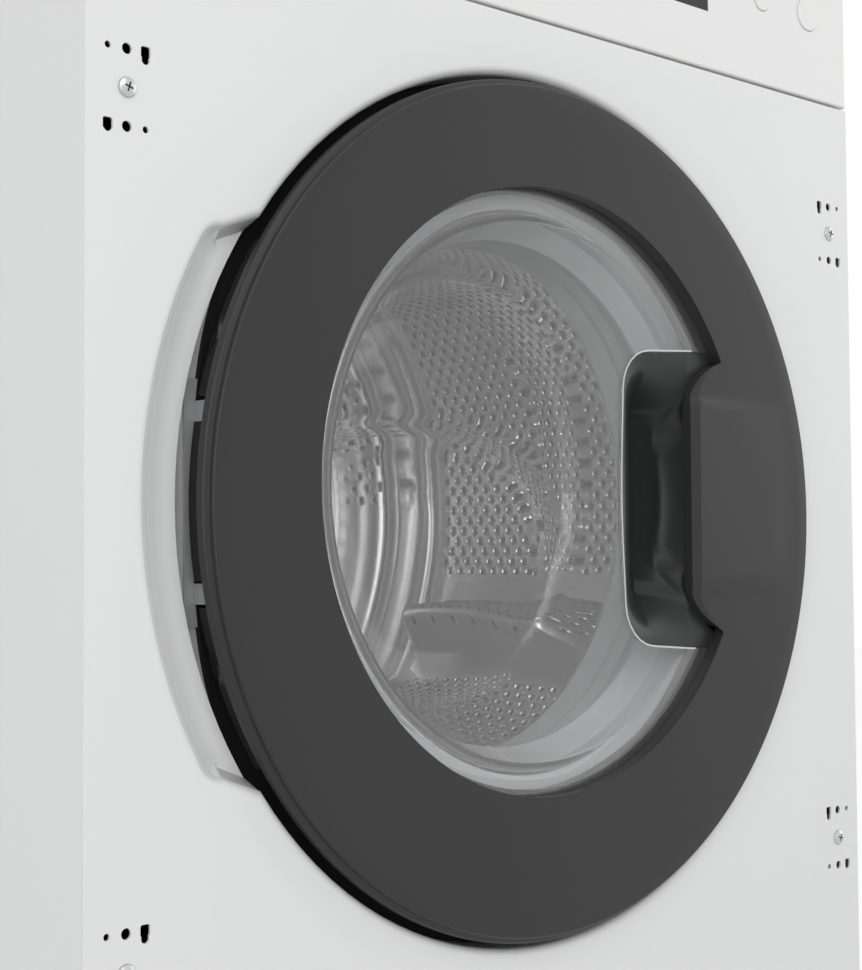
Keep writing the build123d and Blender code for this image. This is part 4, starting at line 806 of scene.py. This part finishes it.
@dataclass
class FrontPanel:
    """The pressed front panel with its wide dish and soft hinge recess, a black ring of painted shade in the dish
    and the door screws.
    """

    ring_x: float = -0.9
    ring_z: float = -9.8
    sheet: float = 1.2
    dish_was: float = 227.0
    bay_was: float = 240.0
    dish: float = 240.5
    floor_was: float = 17.0
    recess_floor: float = 11.5
    recess_foot: float = 10.4
    slope: tuple[float, float] = (13.0, 5.0)
    soft: float = 5.0
    hollow: float = 5.0
    screw_at: tuple[float, ...] = (-275.4, 275.4)
    screw_levels: tuple[float, ...] = (177.9, -222.1)
    head: float = 4.85

    def build(self) -> None:
        """Make the panel, its ring of painted shade and its screws."""
        self.panel()
        self.lay_shade_ring()
        self.screws()

    def panel(self) -> None:
        """Widen the dish of a copy of the solid, slope the recess and round the edges of both its skins."""
        shape = bmesh.new()
        shape.from_mesh(frame["nodes"]["front_panel"].data)
        bmesh.ops.remove_doubles(shape, verts=shape.verts, dist=1e-5)
        bmesh.ops.dissolve_limit(shape, angle_limit=math.radians(0.6), verts=shape.verts, edges=shape.edges,
                                 use_dissolve_boundaries=False, delimit=set())
        floor = []
        for vert in shape.verts:
            spot = (vert.co - GLASS) / MM
            reach = math.hypot(spot.x - self.ring_x, spot.z - self.ring_z)
            behind = any(abs(spot.y - depth - self.sheet) < 0.05 for depth in (0.0, self.floor_was, 26.0))
            if self.dish_was - 1.2 < reach < self.bay_was + self.sheet + 0.3 and spot.y < 27.5:
                radius = self.dish + self.sheet * behind
                away = Vector((spot.x - self.ring_x, spot.z - self.ring_z)) * radius / reach
                vert.co.x, vert.co.z = (RING.x + away.x * MM, RING.z + away.y * MM)
            if spot.x < -150 and reach < 280 and abs(spot.y - self.floor_was - self.sheet * behind) < 0.05:
                vert.co.y += (self.recess_floor - self.floor_was) * MM
                floor.append((vert, behind))
        moves = []
        for vert, behind in floor:
            if (vert.co - RING).xz.length < (self.dish + self.sheet + 1) * MM:
                continue
            ways = [edge.other_vert(vert).co.xz for edge in vert.link_edges
                    if abs(edge.other_vert(vert).co.y - vert.co.y) < 1e-5]
            if len(ways) == 2:
                along = (ways[1] - ways[0]).normalized()
                inward = Vector((-along.y, along.x))
                inward *= math.copysign(MM, inward.dot(RING.xz - vert.co.xz))
                moves.append((vert, inward))
        for vert, move in moves:
            vert.co += Vector((move.x * self.slope[0], (self.recess_foot - self.recess_floor) * MM,
                               move.y * self.slope[1]))
        log.info("front panel: %d points of the recess floor, %d moved in", len(floor), len(moves))
        for depth, radius in ((0.0, self.soft), (self.sheet, self.soft - self.sheet)):
            rim = [edge for edge in shape.edges if self.on_rim(edge, depth, 0.0)]
            bmesh.ops.bevel(shape, geom=rim, offset=radius * MM, offset_type="OFFSET", segments=6, profile=0.5,
                            affect="EDGES", material=-1)
        rim = [edge for edge in shape.edges if self.on_rim(edge, self.recess_foot, self.dish + 2)]
        bmesh.ops.bevel(shape, geom=rim, offset=self.hollow * MM, offset_type="OFFSET", segments=6, profile=0.5,
                        affect="EDGES", material=-1)
        finish_piece("front_sheet", shape, ENAMEL, "cabinet", ("front_panel",), 25)

    def on_rim(self, edge: bmesh.types.BMEdge, depth: float, least: float) -> bool:
        """Tell whether an edge runs round the dish or the recess.

        Args:
            edge: The edge.
            depth: The depth at which the rim lies, in millimetres.
            least: The least distance from the ring's axis, in millimetres.

        Returns:
            True where both ends lie on that rim and the edge is a corner.
        """
        for vert in edge.verts:
            spot = (vert.co - GLASS) / MM
            reach = math.hypot(spot.x - self.ring_x, spot.z - self.ring_z)
            if abs(spot.y - depth) > 0.03 or not max(least, self.dish - 1) < reach < 270:
                return False
        return edge.is_manifold and edge.calc_face_angle(0.0) > 0.3

    def lay_shade_ring(self) -> None:
        """Lay a black ring on the dish's floor, painted shade for the deep gap round the door; it narrows towards
        the hinge.
        """
        shape = lathe([(208.0, 26.0), (208.0, 25.0), (209.0, 24.2), (239.6, 24.2), (240.3, 25.0),
                       (240.3, 26.0)], RING, 240)
        for vert in shape.verts:
            away = vert.co.xz - RING.xz
            if away.length > 0.22:
                off = math.degrees(math.atan2(abs(away.y), -away.x))
                narrow = away * (1 - 0.028 * ease(off, 41.0, 34.0) - 0.045 * ease(off, 33.0, 3.0))
                vert.co.x, vert.co.z = RING.x + narrow.x, RING.z + narrow.y
        finish_piece("dish_painted_shade", shape, SHADE_RING, "cabinet")

    def screws(self) -> None:
        """Turn the four door screws: domed heads with a cross slot painted black as its shade, on short shanks."""
        shape = bmesh.new()
        for x in self.screw_at:
            for z in self.screw_levels:
                centre = GLASS + Vector((x, 0, z)) * MM
                join(shape, lathe([(0.0, -2.2), (1.6, -2.15), (3.2, -1.8), (4.4, -1.1), (self.head, -0.3),
                                   (self.head, 0.0), (1.9, 0.0), (1.9, 9.0), (1.2, 10.0), (0.0, 10.0)],
                                  centre, 32, closed=False))
                for turn in (0.3, 0.3 + math.pi / 2):
                    slot = bmesh.ops.create_cube(shape, size=1.0)["verts"]
                    place = Matrix.Translation(centre + Vector((0, -1.95, 0)) * MM) @ Matrix.Rotation(turn, 4, "Y")
                    bmesh.ops.transform(shape, matrix=place @ Matrix.Diagonal((4.4 * MM, 0.7 * MM, 0.75 * MM, 1)),
                                        verts=slot)
                    # The slot blocks take the second material, black: painted shade inside the cross slot.
                    for face in {face for vert in slot for face in vert.link_faces}:
                        face.material_index = 1
        piece = finish_piece("door_screws", shape, ZINC, "cabinet", ("furniture_screws",), 30)
        # Black for the slots' painted shade.
        piece.data.materials.append(RUBBER.material())


@dataclass
class DoorRing:
    """The dark ring round the glass, dished towards it, with the raised grip on its right."""

    glass_radius: float = 168.4
    crest: float = 232.3
    outer: float = 236.8
    proud: float = -10.0
    fall: float = 3.1
    back: float = -0.8
    grip_half: float = 80.0
    grip_x: float = 118.5
    grip_straight: float = 50.0
    crease: float = 6.1
    grip_fall: float = 2.6
    plateau: float = -9.7
    plateau_half: float = 57.0
    plateau_end: float = 213.0
    steps: int = 200
    throat_was: float = 158.5
    throat: float = 165.4
    housing_edge: float = 231.8
    housing_depth: float = 12.6

    def grip_edge(self) -> list[tuple[float, float]]:
        """Draw the grip's edge over the pocket, from its lower to its upper corner."""
        upper = curve_points([(148.4, 80.0), (143.6, 81.2), (137.0, 77.8), (131.0, 73.4), (125.0, 69.0),
                              (self.grip_x, 61.0), (self.grip_x, self.grip_straight)], 14)
        lower = [(x, -z) for x, z in upper]
        straight = [(self.grip_x, -self.grip_straight + 5.0 * step) for step in range(1, 20)]
        return lower + straight + upper[::-1]

    def depth_at(self, x: float, z: float) -> float:
        """Say how deep the ring's face lies at a point right and up from the glass's centre.

        Args:
            x: How far right, in millimetres.
            z: How far up, in millimetres.

        Returns:
            The depth behind the front plane, in millimetres.
        """
        radius = math.hypot(x + 0.9, z + 9.8)
        dish = self.proud + self.fall * (self.crest - radius) / 110 + 0.35 * max(0.0, (radius - 223) / 9) ** 2
        level = ease(abs(z), self.plateau_half + 4, self.plateau_half - 4) * ease(x, 20.0, 100.0)
        level *= ease(x, self.plateau_end + 12, self.plateau_end - 16)
        edge = self.grip_x + 23 * max(0.0, (abs(z) - self.grip_straight) / 31) ** 3
        slope = min(1.0, max(0.0, 1 - (x - edge) / self.crease))
        slope *= ease(abs(z), 84.0, 58.0) * ease(x, 60.0, 100.0)
        return dish + (min(self.plateau, dish) - dish) * level + self.grip_fall * slope

    def build(self) -> None:
        """Make the ring: inner edge, crease, dished face, crest, outer wall and back."""
        shape = bmesh.new()
        half = math.degrees(math.asin(self.grip_half / self.glass_radius))
        grip = self.grip_edge()
        inner, crest = [], []
        for step in range(self.steps):
            angle = math.radians(half + (360 - 2 * half) * step / self.steps)
            inner.append((self.glass_radius * math.cos(angle), self.glass_radius * math.sin(angle)))
            outer_angle = math.radians(half + 3 + (360 - 2 * half - 6) * step / self.steps)
            crest.append((self.crest * math.cos(outer_angle) - 0.9, self.crest * math.sin(outer_angle) - 9.8))
        lengths = [0.0]
        for before, after in zip(grip, grip[1:]):
            lengths.append(lengths[-1] + math.dist(before, after))
        for (x, z), length in zip(grip[:-1], lengths):
            inner.append((x, z))
            outer_angle = math.radians((half + 3) * (2 * length / lengths[-1] - 1))
            crest.append((self.crest * math.cos(outer_angle) - 0.9, self.crest * math.sin(outer_angle) - 9.8))
        rim = wire(shape, inner, 0.0)
        place = shape.verts.layers.int.new("place")
        shape.verts.ensure_lookup_table()
        for number, vert in enumerate(shape.verts):
            vert[place] = number
        spans = [Vector(far) - Vector(near) for near, far in zip(inner, crest)]
        for step in range(1, 30):
            rim = grow_rim(shape, rim)
            for vert in corners_of(rim):
                span = spans[vert[place]]
                out = self.crease * step / 6
                if step > 6:
                    out = self.crease + (span.length - self.crease) * (step - 6) / 23
                spot = Vector(inner[vert[place]]) + span.normalized() * out
                vert.co = GLASS + Vector((spot.x, 0.0, spot.y)) * MM
        for vert in shape.verts:
            spot = (vert.co - GLASS) / MM
            vert.co.y += self.depth_at(spot.x, spot.z) * MM
        self.roll_edges(shape)
        finish_piece("door_ring", shape, RING_ABS, "door", ("door_trim",), 17)
        self.housing_rim()

    def housing_rim(self) -> None:
        """Close the front of the hinge housing's side, so that its notches show at the back only."""
        shape = bmesh.new()
        start = Vector((-math.cos(math.radians(33)), 0, -math.sin(math.radians(33))))
        corners = [RING + start * r * MM + Vector((0, d * MM, 0)) for r, d in
                   ((227.2, -0.7), (228.8, -0.7), (229.5, 0.0), (229.5, 3.4), (227.2, 3.4))]
        verts = [shape.verts.new(corner) for corner in corners]
        end = shape.faces.new(verts)
        bmesh.ops.spin(shape, geom=[end], cent=RING, axis=(0, 1, 0), angle=math.radians(66), steps=48,
                       use_merge=False, use_duplicate=False)
        bmesh.ops.recalc_face_normals(shape, faces=shape.faces)
        finish_piece("housing_rim", shape, FRAME_ABS, "door")
        self.back_frame()

    def back_frame(self) -> None:
        """Open the back frame's throat in a cone, and draw the hinge housing's rear edge forward on a copy."""
        shape = bmesh.new()
        shape.from_mesh(frame["nodes"]["door_back_frame"].data)
        bmesh.ops.remove_doubles(shape, verts=shape.verts, dist=1e-5)
        for vert in shape.verts:
            spot = (vert.co - GLASS) / MM
            throat, reach = (vert.co - GLASS).xz.length / MM, (vert.co - RING).xz.length / MM
            if abs(throat - self.throat_was) < 0.4 and spot.y < 12:
                vert.co.x = GLASS.x + spot.x * MM * self.throat / throat
                vert.co.z = GLASS.z + spot.z * MM * self.throat / throat
            if reach > 228.0 and spot.y > 17:
                vert.co.y = FRONT + self.housing_depth * MM
                vert.co.x = RING.x + (vert.co.x - RING.x) * self.housing_edge / reach
                vert.co.z = RING.z + (vert.co.z - RING.z) * self.housing_edge / reach
        finish_piece("back_frame", shape, FRAME_ABS, "door", ("door_back_frame",), 30)

    def roll_edges(self, shape: bmesh.types.BMesh) -> None:
        """Turn the crest over into the outer wall, drop the inner lip and close the back.

        Args:
            shape: The ring's face.
        """
        rims = [edge for edge in shape.edges if edge.is_boundary]
        outer_rim = [edge for edge in rims if (edge.verts[0].co - RING).xz.length > 0.215]
        inner_rim = [edge for edge in rims if edge not in set(outer_rim)]
        turns = [math.pi / 2 * step / 6 for step in range(1, 7)]
        crest_path = [(self.crest + 1.3 * math.sin(turn), self.proud + 0.35 + 1.3 * (1 - math.cos(turn)))
                      for turn in turns]
        flare = rounded_profile([(self.crest + 1.3, -7.0, 0), (self.crest + 1.5, -6.2, 0.5), (self.outer, -5.2, 1.6),
                                 (self.outer, self.back, 0)], 5)
        for radius, depth in crest_path + flare:
            outer_rim = grow_rim(shape, outer_rim)
            for vert in corners_of(outer_rim):
                away = (vert.co - RING).xz.normalized() * radius * MM
                vert.co = RING + Vector((away.x, depth * MM, away.y))
        lip = grow_rim(shape, inner_rim)
        for vert in corners_of(lip):
            vert.co.y = FRONT + self.back * MM
        bmesh.ops.bridge_loops(shape, edges=lip + outer_rim)
        bmesh.ops.recalc_face_normals(shape, faces=shape.faces)
        bmesh.ops.bevel(shape, geom=inner_rim, offset=0.9 * MM, offset_type="OFFSET", segments=6, profile=0.5,
                        affect="EDGES", material=-1, clamp_overlap=True)


@dataclass
class Glazing:
    """Clear window with its cut-out, the smoked pocket in it and the pressed glass bowl behind."""

    rim: float = 171.4
    front: float = -0.8
    window_back: float = 2.2
    flange_back: float = 6.2
    # Width of the pale strip that paints the highlight along the cut-out, in millimetres.
    bevel: float = 1.1
    pocket_deep: float = 24.0
    pocket_wall: float = 2.0
    cup_radius: float = 139.0
    neck: float = 157.0
    nose: float = 125.0
    depth: float = 116.0
    wall: float = 4.5
    pocket_corners: tuple[tuple[float, float, float], ...] = (
        (147.8, 86.8, 0.0), (126.0, 86.8, 60.0), (66.4, 82.8, 24.0), (62.6, -3.0, 600.0), (67.0, -87.0, 26.0),
        (126.0, -91.5, 60.0), (144.9, -91.5, 0.0))
    cut_corners: tuple[tuple[float, float, float], ...] = (
        (148.6, 87.2, 0.0), (126.0, 87.2, 60.0), (66.0, 83.2, 24.0), (62.2, -3.0, 600.0), (66.6, -87.4, 26.0),
        (126.0, -91.9, 60.0), (145.4, -91.9, 0.0))
    cut_ends: tuple[tuple[float, float], ...] = ((147.5, 87.2), (144.7, -91.9))
    heart: tuple[float, float] = (112.0, -2.0)

    def build(self) -> None:
        """Make the window, the pocket and the bowl."""
        self.window()
        self.pocket()
        self.bowl()

    def arc(self, radius: float, start: float, end: float, steps: int) -> list[tuple[float, float]]:
        """Draw an arc about the glass's centre.

        Args:
            radius: Its radius, in millimetres.
            start: The height at which it starts, right of the centre.
            end: The height at which it ends, right of the centre.
            steps: How many parts it has.

        Returns:
            The arc's points without its two ends.
        """
        first, last = math.asin(start / radius), math.asin(end / radius)
        if last < first:
            last += 2 * math.pi
        turns = [first + (last - first) * step / steps for step in range(1, steps)]
        return [(radius * math.cos(turn), radius * math.sin(turn)) for turn in turns]

    def window(self) -> None:
        """Cut the clear window, open at the right for the pocket."""
        first, last = self.cut_ends
        bite = [first] + rounded_profile(list(self.cut_corners))[1:-1] + [last]
        ring = self.arc(self.rim, first[1], last[1], 160)
        shape = plate(bite[::-1] + ring, self.front, self.window_back, 0.55)
        finish_piece("door_window", shape, COVER_PMMA, "door", ("door_cover",), 60)
        self.lay_edge_highlight(bite)

    def lay_edge_highlight(self, bite: list[tuple[float, float]]) -> None:
        """Lay a pale strip along the window's cut-out that paints the bright line of its edge.

        Args:
            bite: The cut-out's line, in millimetres.
        """
        shape = bmesh.new()
        heart = Vector(self.heart)
        ways = []
        for before, here, after in zip(bite, bite[1:], bite[2:]):
            along = (Vector(after) - Vector(before)).normalized()
            away = Vector((along.y, -along.x))
            ways.append(away * math.copysign(self.bevel, away.dot(Vector(here) - heart)))
        place = shape.verts.layers.int.new("place")
        line = [shape.verts.new(GLASS + Vector((x, self.front - 0.03, z)) * MM) for x, z in bite[1:-1]]
        for number, vert in enumerate(line):
            vert[place] = number
        for vert in corners_of(grow_rim(shape, [shape.edges.new(pair) for pair in zip(line, line[1:])])):
            vert.co += Vector((ways[vert[place]].x, 0.0, ways[vert[place]].y)) * MM
        bmesh.ops.recalc_face_normals(shape, faces=shape.faces)
        bmesh.ops.solidify(shape, geom=shape.faces[:], thickness=0.06 * MM)
        finish_piece("window_painted_highlight", shape, EDGE_HIGHLIGHT, "door", (), 60)

    def cup_depth(self, x: float, z: float) -> float:
        """Say how deep the pocket's surface lies below its flange.

        Args:
            x: How far right of the glass's centre, in millimetres.
            z: How far above it, in millimetres.

        Returns:
            The depth, in millimetres.
        """
        reach = math.hypot(x, z)
        fall = ease(x, 61.5, 104.0) * ease(reach, self.cup_radius, self.cup_radius - 16)
        return self.pocket_deep * fall * ease(abs(z + 2), 88.0, 50.0)

    def pocket(self) -> None:
        """Draw the smoked cup in a scoop: shallow from the left, deep under the grip."""
        shape = bmesh.new()
        outline = rounded_profile(list(self.pocket_corners)) + self.arc(self.rim, -91.5, 86.8, 24)
        rim = wire(shape, outline, self.front)
        heart = GLASS + Vector((self.heart[0], self.front, self.heart[1])) * MM
        for step in range(1, 31):
            rim = grow_rim(shape, rim)
            before, after = 1 - (step - 1) / 31, 1 - step / 31
            bmesh.ops.scale(shape, verts=list(corners_of(rim)), vec=(after / before, 1, after / before),
                            space=Matrix.Translation(-heart))
        bmesh.ops.contextual_create(shape, geom=rim)
        for vert in shape.verts:
            spot = (vert.co - GLASS) / MM
            vert.co.y += self.cup_depth(spot.x, spot.z) * MM
        bmesh.ops.recalc_face_normals(shape, faces=shape.faces)
        if sum(face.normal.y for face in shape.faces) > 0:
            bmesh.ops.reverse_faces(shape, faces=shape.faces)
        bmesh.ops.solidify(shape, geom=shape.faces[:], thickness=self.pocket_wall * MM)
        finish_piece("grip_pocket", shape, SMOKED, "door", ("handle_pocket",), 50)

    def bowl(self) -> None:
        """Press the bowl: flange, cone, domed nose and the slanted wall above the nose."""
        outer = split_long(rounded_profile(
            [(self.rim - 0.5, self.flange_back, 0), (self.neck, self.flange_back, 5.0),
             (self.nose + 1, self.depth - 6, 24.0), (0.0, self.depth, 0)], 14), 3.0)
        inner = split_long(rounded_profile(
            [(self.rim - 0.5, self.window_back, 0), (self.neck - self.wall, self.window_back, 8.0),
             (self.nose + 1 - self.wall, self.depth - 6 - self.wall, 19.5),
             (0.0, self.depth - self.wall, 0)], 14), 3.0)
        profile = [(self.rim, self.window_back), (self.rim, self.flange_back)] + outer
        shape = lathe(profile + inner[::-1], GLASS, 192)
        outside = {}
        for vert in shape.verts:
            spot = (vert.co - GLASS) / MM
            place = (round(spot.xz.length, 1), round(spot.y, 1))
            if place not in outside:
                to_outer, to_inner = (min(math.dist(place, point) for point in line) for line in (outer, inner))
                outside[place] = to_outer < to_inner
            ramp, gutter = self.slant(spot.x, spot.z)
            press = ramp + (gutter if outside[place] else 0.3 * gutter)
            vert.co.y -= press * ease(spot.y, 30.0, 95.0) * MM
        finish_piece("glass_bowl", shape, BOWL_GLASS, "door", ("door_glass",), 30)

    def slant(self, x: float, z: float) -> tuple[float, float]:
        """Say how the bowl's nose is pressed at a point.

        Args:
            x: How far right of the glass's centre, in millimetres.
            z: How far above it, in millimetres.

        Returns:
            How far the upper part is pressed towards the front, and the depth of the gutter before it.
        """
        beyond = ((abs(x) / 122) ** 3 + (max(0.0, z + 70) / 112) ** 3) ** (1 / 3)
        over = (beyond - 1) * 112
        ramp = 0.5 * (over + math.hypot(over, 9.0))
        return 0.28 * ramp, 1.5 * math.exp(-((over + 3) / 6) ** 2)


@dataclass
class ControlDetails:
    """Small things on the control panel: the dial's marks, the knob's pointer and the pilot lamps."""

    knob_x: float = -0.070
    level: float = 0.762
    face: float = FRONT
    mark_from: float = 0.0285
    mark_to: float = 0.0320
    mark_wide: float = 0.0007
    marks: int = 16
    start_x: float = 0.255
    power_x: float = 0.205

    def build(self) -> None:
        """Make the marks, the pointer and the lamps."""
        shape = bmesh.new()
        for number in range(self.marks):
            turn = 2 * math.pi * number / self.marks
            longer = 1.0 if number % 4 else 1.5
            self.bar(shape, turn, self.mark_from, self.mark_from + (self.mark_to - self.mark_from) * longer,
                     self.mark_wide, self.face - 0.00012, self.face + 0.0002)
        finish_piece("dial_marks", shape, MARK_PAINT, "cabinet")
        shape = bmesh.new()
        self.bar(shape, 0.0, 0.0110, 0.0203, 0.0014, self.face - 0.0091, self.face - 0.0082)
        finish_piece("knob_pointer", shape, MARK_PAINT, "knob")
        shape = bmesh.new()
        for x in (self.power_x, self.start_x):
            spot = Vector((x, self.face, self.level + 0.0175))
            join(shape, lathe([(0.0, -0.35), (0.7, -0.25), (1.1, 0.0), (1.1, 0.6), (0.0, 0.6)], spot, 24,
                              closed=False))
        finish_piece("pilot_lamps", shape, LENS_GREY, "cabinet")

    def bar(self, shape: bmesh.types.BMesh, turn: float, inner: float, outer: float, wide: float, near: float,
            far: float) -> None:
        """Print one radial bar.

        Args:
            shape: The mesh that gets it.
            turn: How far round the dial it stands, in radians from the top.
            inner: Where it starts, in metres from the dial's centre.
            outer: Where it ends.
            wide: Its width.
            near: Depth of its front face, in metres.
            far: Depth of its back face, in metres.
        """
        made = bmesh.ops.create_cube(shape, size=1.0)["verts"]
        size = Matrix.Diagonal((wide, far - near, outer - inner, 1.0))
        place = Matrix.Translation((self.knob_x, (near + far) / 2, self.level)) @ Matrix.Rotation(turn, 4, "Y")
        bmesh.ops.transform(shape, matrix=place @ Matrix.Translation((0, 0, (inner + outer) / 2)) @ size, verts=made)


@dataclass
class BackDetails:
    """Screws of the rear panel and of its service cover, and the panel's pressed beads."""

    back: float = FRONT + 0.535
    screw_x: float = 0.283
    rows: tuple[float, ...] = (0.050, 0.24, 0.455, 0.67, 0.800)
    cover_x: float = 0.176
    cover_rows: tuple[float, ...] = (0.320, 0.590)
    head: float = 4.2

    def build(self) -> None:
        """Make the screws and the beads."""
        shape = bmesh.new()
        for side in (-1, 1):
            for z in self.rows:
                self.screw(shape, Vector((side * self.screw_x, self.back, z)))
            for z in self.cover_rows:
                self.screw(shape, Vector((side * self.cover_x, self.back + 0.0012, z)))
        for x in (-0.14, 0.0, 0.14):
            self.screw(shape, Vector((x, self.back, 0.800)))
            self.screw(shape, Vector((x, self.back, 0.050)))
        finish_piece("rear_screws", shape, ZINC, "cabinet", (), 30)
        beads = bmesh.new()
        for z in (0.150, 0.205):
            self.bead(beads, -0.20, 0.20, z)
        for z in (0.680, 0.735):
            self.bead(beads, -0.15, 0.20, z)
        finish_piece("rear_beads", beads, GALVANISED, "cabinet", (), 40)

    def screw(self, shape: bmesh.types.BMesh, spot: Vector) -> None:
        """Set one domed sheet screw with a cross slot.

        Args:
            shape: The mesh that gets it.
            spot: Where its head lies on the panel, in metres.
        """
        join(shape, lathe([(0.0, 2.0), (1.6, 1.9), (3.0, 1.5), (self.head, 0.5), (self.head, 0.0), (0.0, 0.0)],
                          spot, 24, closed=False))
        for turn in (0.2, 0.2 + math.pi / 2):
            bar = bmesh.ops.create_cube(shape, size=1.0)["verts"]
            place = Matrix.Translation(spot + Vector((0, 0.0018, 0))) @ Matrix.Rotation(turn, 4, "Y")
            bmesh.ops.transform(shape, matrix=place @ Matrix.Diagonal((0.0042, 0.0006, 0.0007, 1.0)), verts=bar)

    def bead(self, shape: bmesh.types.BMesh, left: float, right: float, level: float) -> None:
        """Press one stiffening bead, a long low ridge with round ends.

        Args:
            shape: The mesh that gets it.
            left: Where it starts, in metres.
            right: Where it ends.
            level: Its height.
        """
        made = bmesh.ops.create_uvsphere(shape, u_segments=32, v_segments=16, radius=0.009)["verts"]
        for vert in made:
            vert.co.x += right if vert.co.x > 0 else left
            vert.co.y = self.back - 0.0004 + vert.co.y * 0.3
            vert.co.z += level


@dataclass
class Studio:
    """Pale floor, white surroundings, soft lamps and the camera."""

    spot: Vector = field(default_factory=lambda: Vector((-0.71416, -0.94403, 0.40167)))
    yaw: float = 42.824
    pitch: float = 2.449
    roll: float = -0.369
    lens: float = 65.35

    def build(self) -> None:
        """Set up the camera, the world, the lamps and the floor."""
        self.place_camera()
        self.light_world()
        self.hang_lamp("key", Vector((-0.9, -2.5, 2.7)), 2.4, 24)
        self.hang_lamp("fill", Vector((-2.4, -2.3, 0.9)), 2.0, 26)
        self.hang_lamp("side", Vector((2.9, -1.1, 1.3)), 2.0, 11)
        self.lay_floor()
        scene = bpy.context.scene
        scene.view_settings.view_transform = "Standard"
        scene.cycles.max_bounces, scene.cycles.glossy_bounces = 20, 8
        scene.cycles.transmission_bounces, scene.cycles.transparent_max_bounces = 16, 16

    def place_camera(self) -> None:
        """Stand the camera where the photograph was taken from."""
        lens = bpy.data.cameras.new("camera")
        lens.sensor_fit = "VERTICAL"
        lens.sensor_height = 36.0
        lens.lens = self.lens
        camera = bpy.data.objects.new("camera", lens)
        bpy.context.scene.collection.objects.link(camera)
        yaw, pitch, roll = map(math.radians, (self.yaw, self.pitch, self.roll))
        ahead = Vector((math.sin(yaw) * math.cos(pitch), math.cos(yaw) * math.cos(pitch), math.sin(pitch)))
        level = Vector((math.cos(yaw), -math.sin(yaw), 0.0))
        above = level.cross(ahead)
        right = math.cos(roll) * level + math.sin(roll) * above
        up = -math.sin(roll) * level + math.cos(roll) * above
        turn = Matrix((right, up, -ahead)).transposed().to_4x4()
        camera.matrix_world = Matrix.Translation(self.spot) @ turn
        bpy.context.scene.camera = camera

    def light_world(self) -> None:
        """Surround the object with a soft white studio that looks plain white to the camera."""
        world = bpy.data.worlds.new("studio")
        bpy.context.scene.world = world
        world.use_nodes = True
        tree = world.node_tree
        tree.nodes.clear()
        seen = self.looks(tree)
        room = add_node(tree, "ShaderNodeBackground", {"Color": linear("#eaebeb"), "Strength": 0.88})
        plain = add_node(tree, "ShaderNodeBackground", {"Color": (1, 1, 1, 1), "Strength": 1.0})
        mix = add_node(tree, "ShaderNodeMixShader", {}, {0: seen.outputs[0], 1: room.outputs[0],
                                                         2: plain.outputs[0]})
        add_node(tree, "ShaderNodeOutputWorld", {}, {"Surface": mix.outputs[0]})

    def looks(self, tree: bpy.types.NodeTree) -> bpy.types.Node:
        """Tell a ray that shows the surroundings from one that lights a surface.

        Args:
            tree: The nodes of the world or the floor.

        Returns:
            A node whose first output is one for camera, mirrored and glass rays.
        """
        path = add_node(tree, "ShaderNodeLightPath")
        direct = add_node(tree, "ShaderNodeMath", {"operation": "MAXIMUM"},
                          {0: path.outputs["Is Camera Ray"], 1: path.outputs["Is Transmission Ray"]})
        return add_node(tree, "ShaderNodeMath", {"operation": "MAXIMUM"},
                        {0: direct.outputs[0], 1: path.outputs["Is Glossy Ray"]})

    def hang_lamp(self, name: str, spot: Vector, size: float, watts: float) -> None:
        """Hang one square softbox that looks at the door.

        Args:
            name: The lamp's name.
            spot: Where it hangs, in metres.
            size: The side of the square, in metres.
            watts: Its power.
        """
        lamp = bpy.data.lights.new(name, "AREA")
        lamp.size = size
        lamp.energy = watts
        holder = bpy.data.objects.new(name, lamp)
        turn = (GLASS - spot).to_track_quat("-Z", "Y").to_matrix().to_4x4()
        holder.matrix_world = Matrix.Translation(spot) @ turn
        bpy.context.scene.collection.objects.link(holder)

    def lay_floor(self) -> None:
        """Lay the plain pale floor that the feet stand on."""
        shape = bmesh.new()
        bmesh.ops.create_grid(shape, x_segments=1, y_segments=1, size=6.0)
        mesh = bpy.data.meshes.new("floor")
        shape.to_mesh(mesh)
        shape.free()
        floor = bpy.data.objects.new("floor", mesh)
        bpy.context.scene.collection.objects.link(floor)
        paint = bpy.data.materials.new("floor_paint")
        paint.use_nodes = True
        tree = paint.node_tree
        tree.nodes.clear()
        pale = add_node(tree, "ShaderNodeBsdfDiffuse", {"Color": linear("#e6e6e6"), "Roughness": 0.7})
        white = add_node(tree, "ShaderNodeEmission", {"Color": (1, 1, 1, 1), "Strength": 1.0})
        share = add_node(tree, "ShaderNodeMath", {"operation": "MULTIPLY", 1: 0.9},
                         {0: self.looks(tree).outputs[0]})
        mix = add_node(tree, "ShaderNodeMixShader", {}, {0: share.outputs[0], 1: pale.outputs[0],
                                                         2: white.outputs[0]})
        add_node(tree, "ShaderNodeOutputMaterial", {}, {"Surface": mix.outputs[0]})
        mesh.materials.append(paint)


def main() -> None:
    """Build the studio, dress the solids and add the pieces made here."""
    dress_nodes()
    Studio().build()
    FrontPanel().build()
    Drum().build()
    DoorRing().build()
    Glazing().build()
    ControlDetails().build()
    BackDetails().build()


if __name__ == "__main__":
    main()
